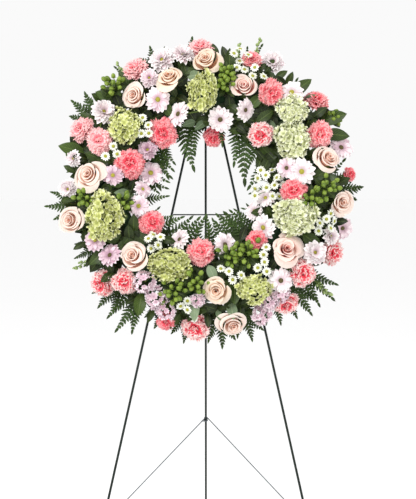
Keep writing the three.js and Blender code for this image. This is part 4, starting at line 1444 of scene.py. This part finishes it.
# %% Bud sprigs
BUD_SPRIGS = [
    (325, 372, 424), (13, 366, 416), (20, 384, 440), (238, 376, 416), (131, 400, 444), (44, 372, 410),
]
SPRIG_BUDS = 14
buds = Quartered("bud_sprigs", [BUD, STEM], "leaf")
for clock, from_distance, distance in BUD_SPRIGS:
    bloom = buds.at(clock)
    start = on_ring(clock, from_distance - 40, 54)
    end = on_ring(clock, distance - 6, 44)
    bloom.stalk(start, end, 1.2, 1)
    for k in range(SPRIG_BUDS):
        along = 0.4 + 0.6 * k / (SPRIG_BUDS - 1)
        spot = start.lerp(end, along) + jitter(rng, 10 * (1.3 - along))
        bloom.knob(spot, rng.uniform(2.4, 4.0), 0, stretch=1.35, tone=rng.random(), axis=end - start)
        bloom.stalk(start.lerp(end, along - 0.12), spot, 0.6, 1, sides=4)
buds.plant()

# %% [markdown]
# ## Floor and light
# The floor runs far back and the world is nearly white, as in a studio with a paper sweep. One large soft
# light stands high on the left and a dimmer one on the right, so the shadows between the blooms stay soft
# but still say where the light is.

# %% Floor
FLOOR_SIZE = 60
bm = bmesh.new()
bmesh.ops.create_grid(bm, x_segments=1, y_segments=1, size=FLOOR_SIZE / 2)
floor_mesh = bpy.data.meshes.new("floor")
bm.to_mesh(floor_mesh)
bm.free()
paper, _, _ = start_material("paper_sweep", {"Base Color": hexcolour("#fefefe"), "Roughness": 1.0})
floor_mesh.materials.append(paper)
floor = add_object("floor", floor_mesh)
floor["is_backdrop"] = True
print("floor in metres:", FLOOR_SIZE)

# %% [markdown]
# Both lights are wide discs aimed at the flowers. A point or a sun would cut hard black gaps between the
# petals, while a disc fills them with half shadow. The plain Standard view keeps the colours as they were
# picked.

# %% Lights
WORLD_WHITE = "#fafafa"


def soft_light(name, place, size, watts):
    data = bpy.data.lights.new(name, "AREA")
    data.shape = "DISK"
    data.size = size
    data.energy = watts
    aim(add_object(name, data), place, flower_plane)


soft_light("key_light", Vector((-1.9, -2.8, 3.4)), size=2.0, watts=106)
soft_light("fill_light", Vector((2.6, -2.6, 1.8)), size=2.4, watts=30)
world = bpy.data.worlds.new("studio")
bpy.context.scene.world = world
world.use_nodes = True
backdrop = world.node_tree.nodes["Background"].inputs
backdrop["Color"].default_value = hexcolour(WORLD_WHITE)
backdrop["Strength"].default_value = 1.0
bpy.context.scene.view_settings.view_transform = "Standard"
print("lights:", len(bpy.data.lights))

# %% [markdown]
# ## Sizes
# The finished wreath's box is measured over every piece in view and printed.

# %% Print the finished wreath's box
finished_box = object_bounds()
for corner, name in zip(finished_box, ("lowest", "highest")):
    print(name, "corner of the finished wreath:", [round(c, 3) for c in corner])
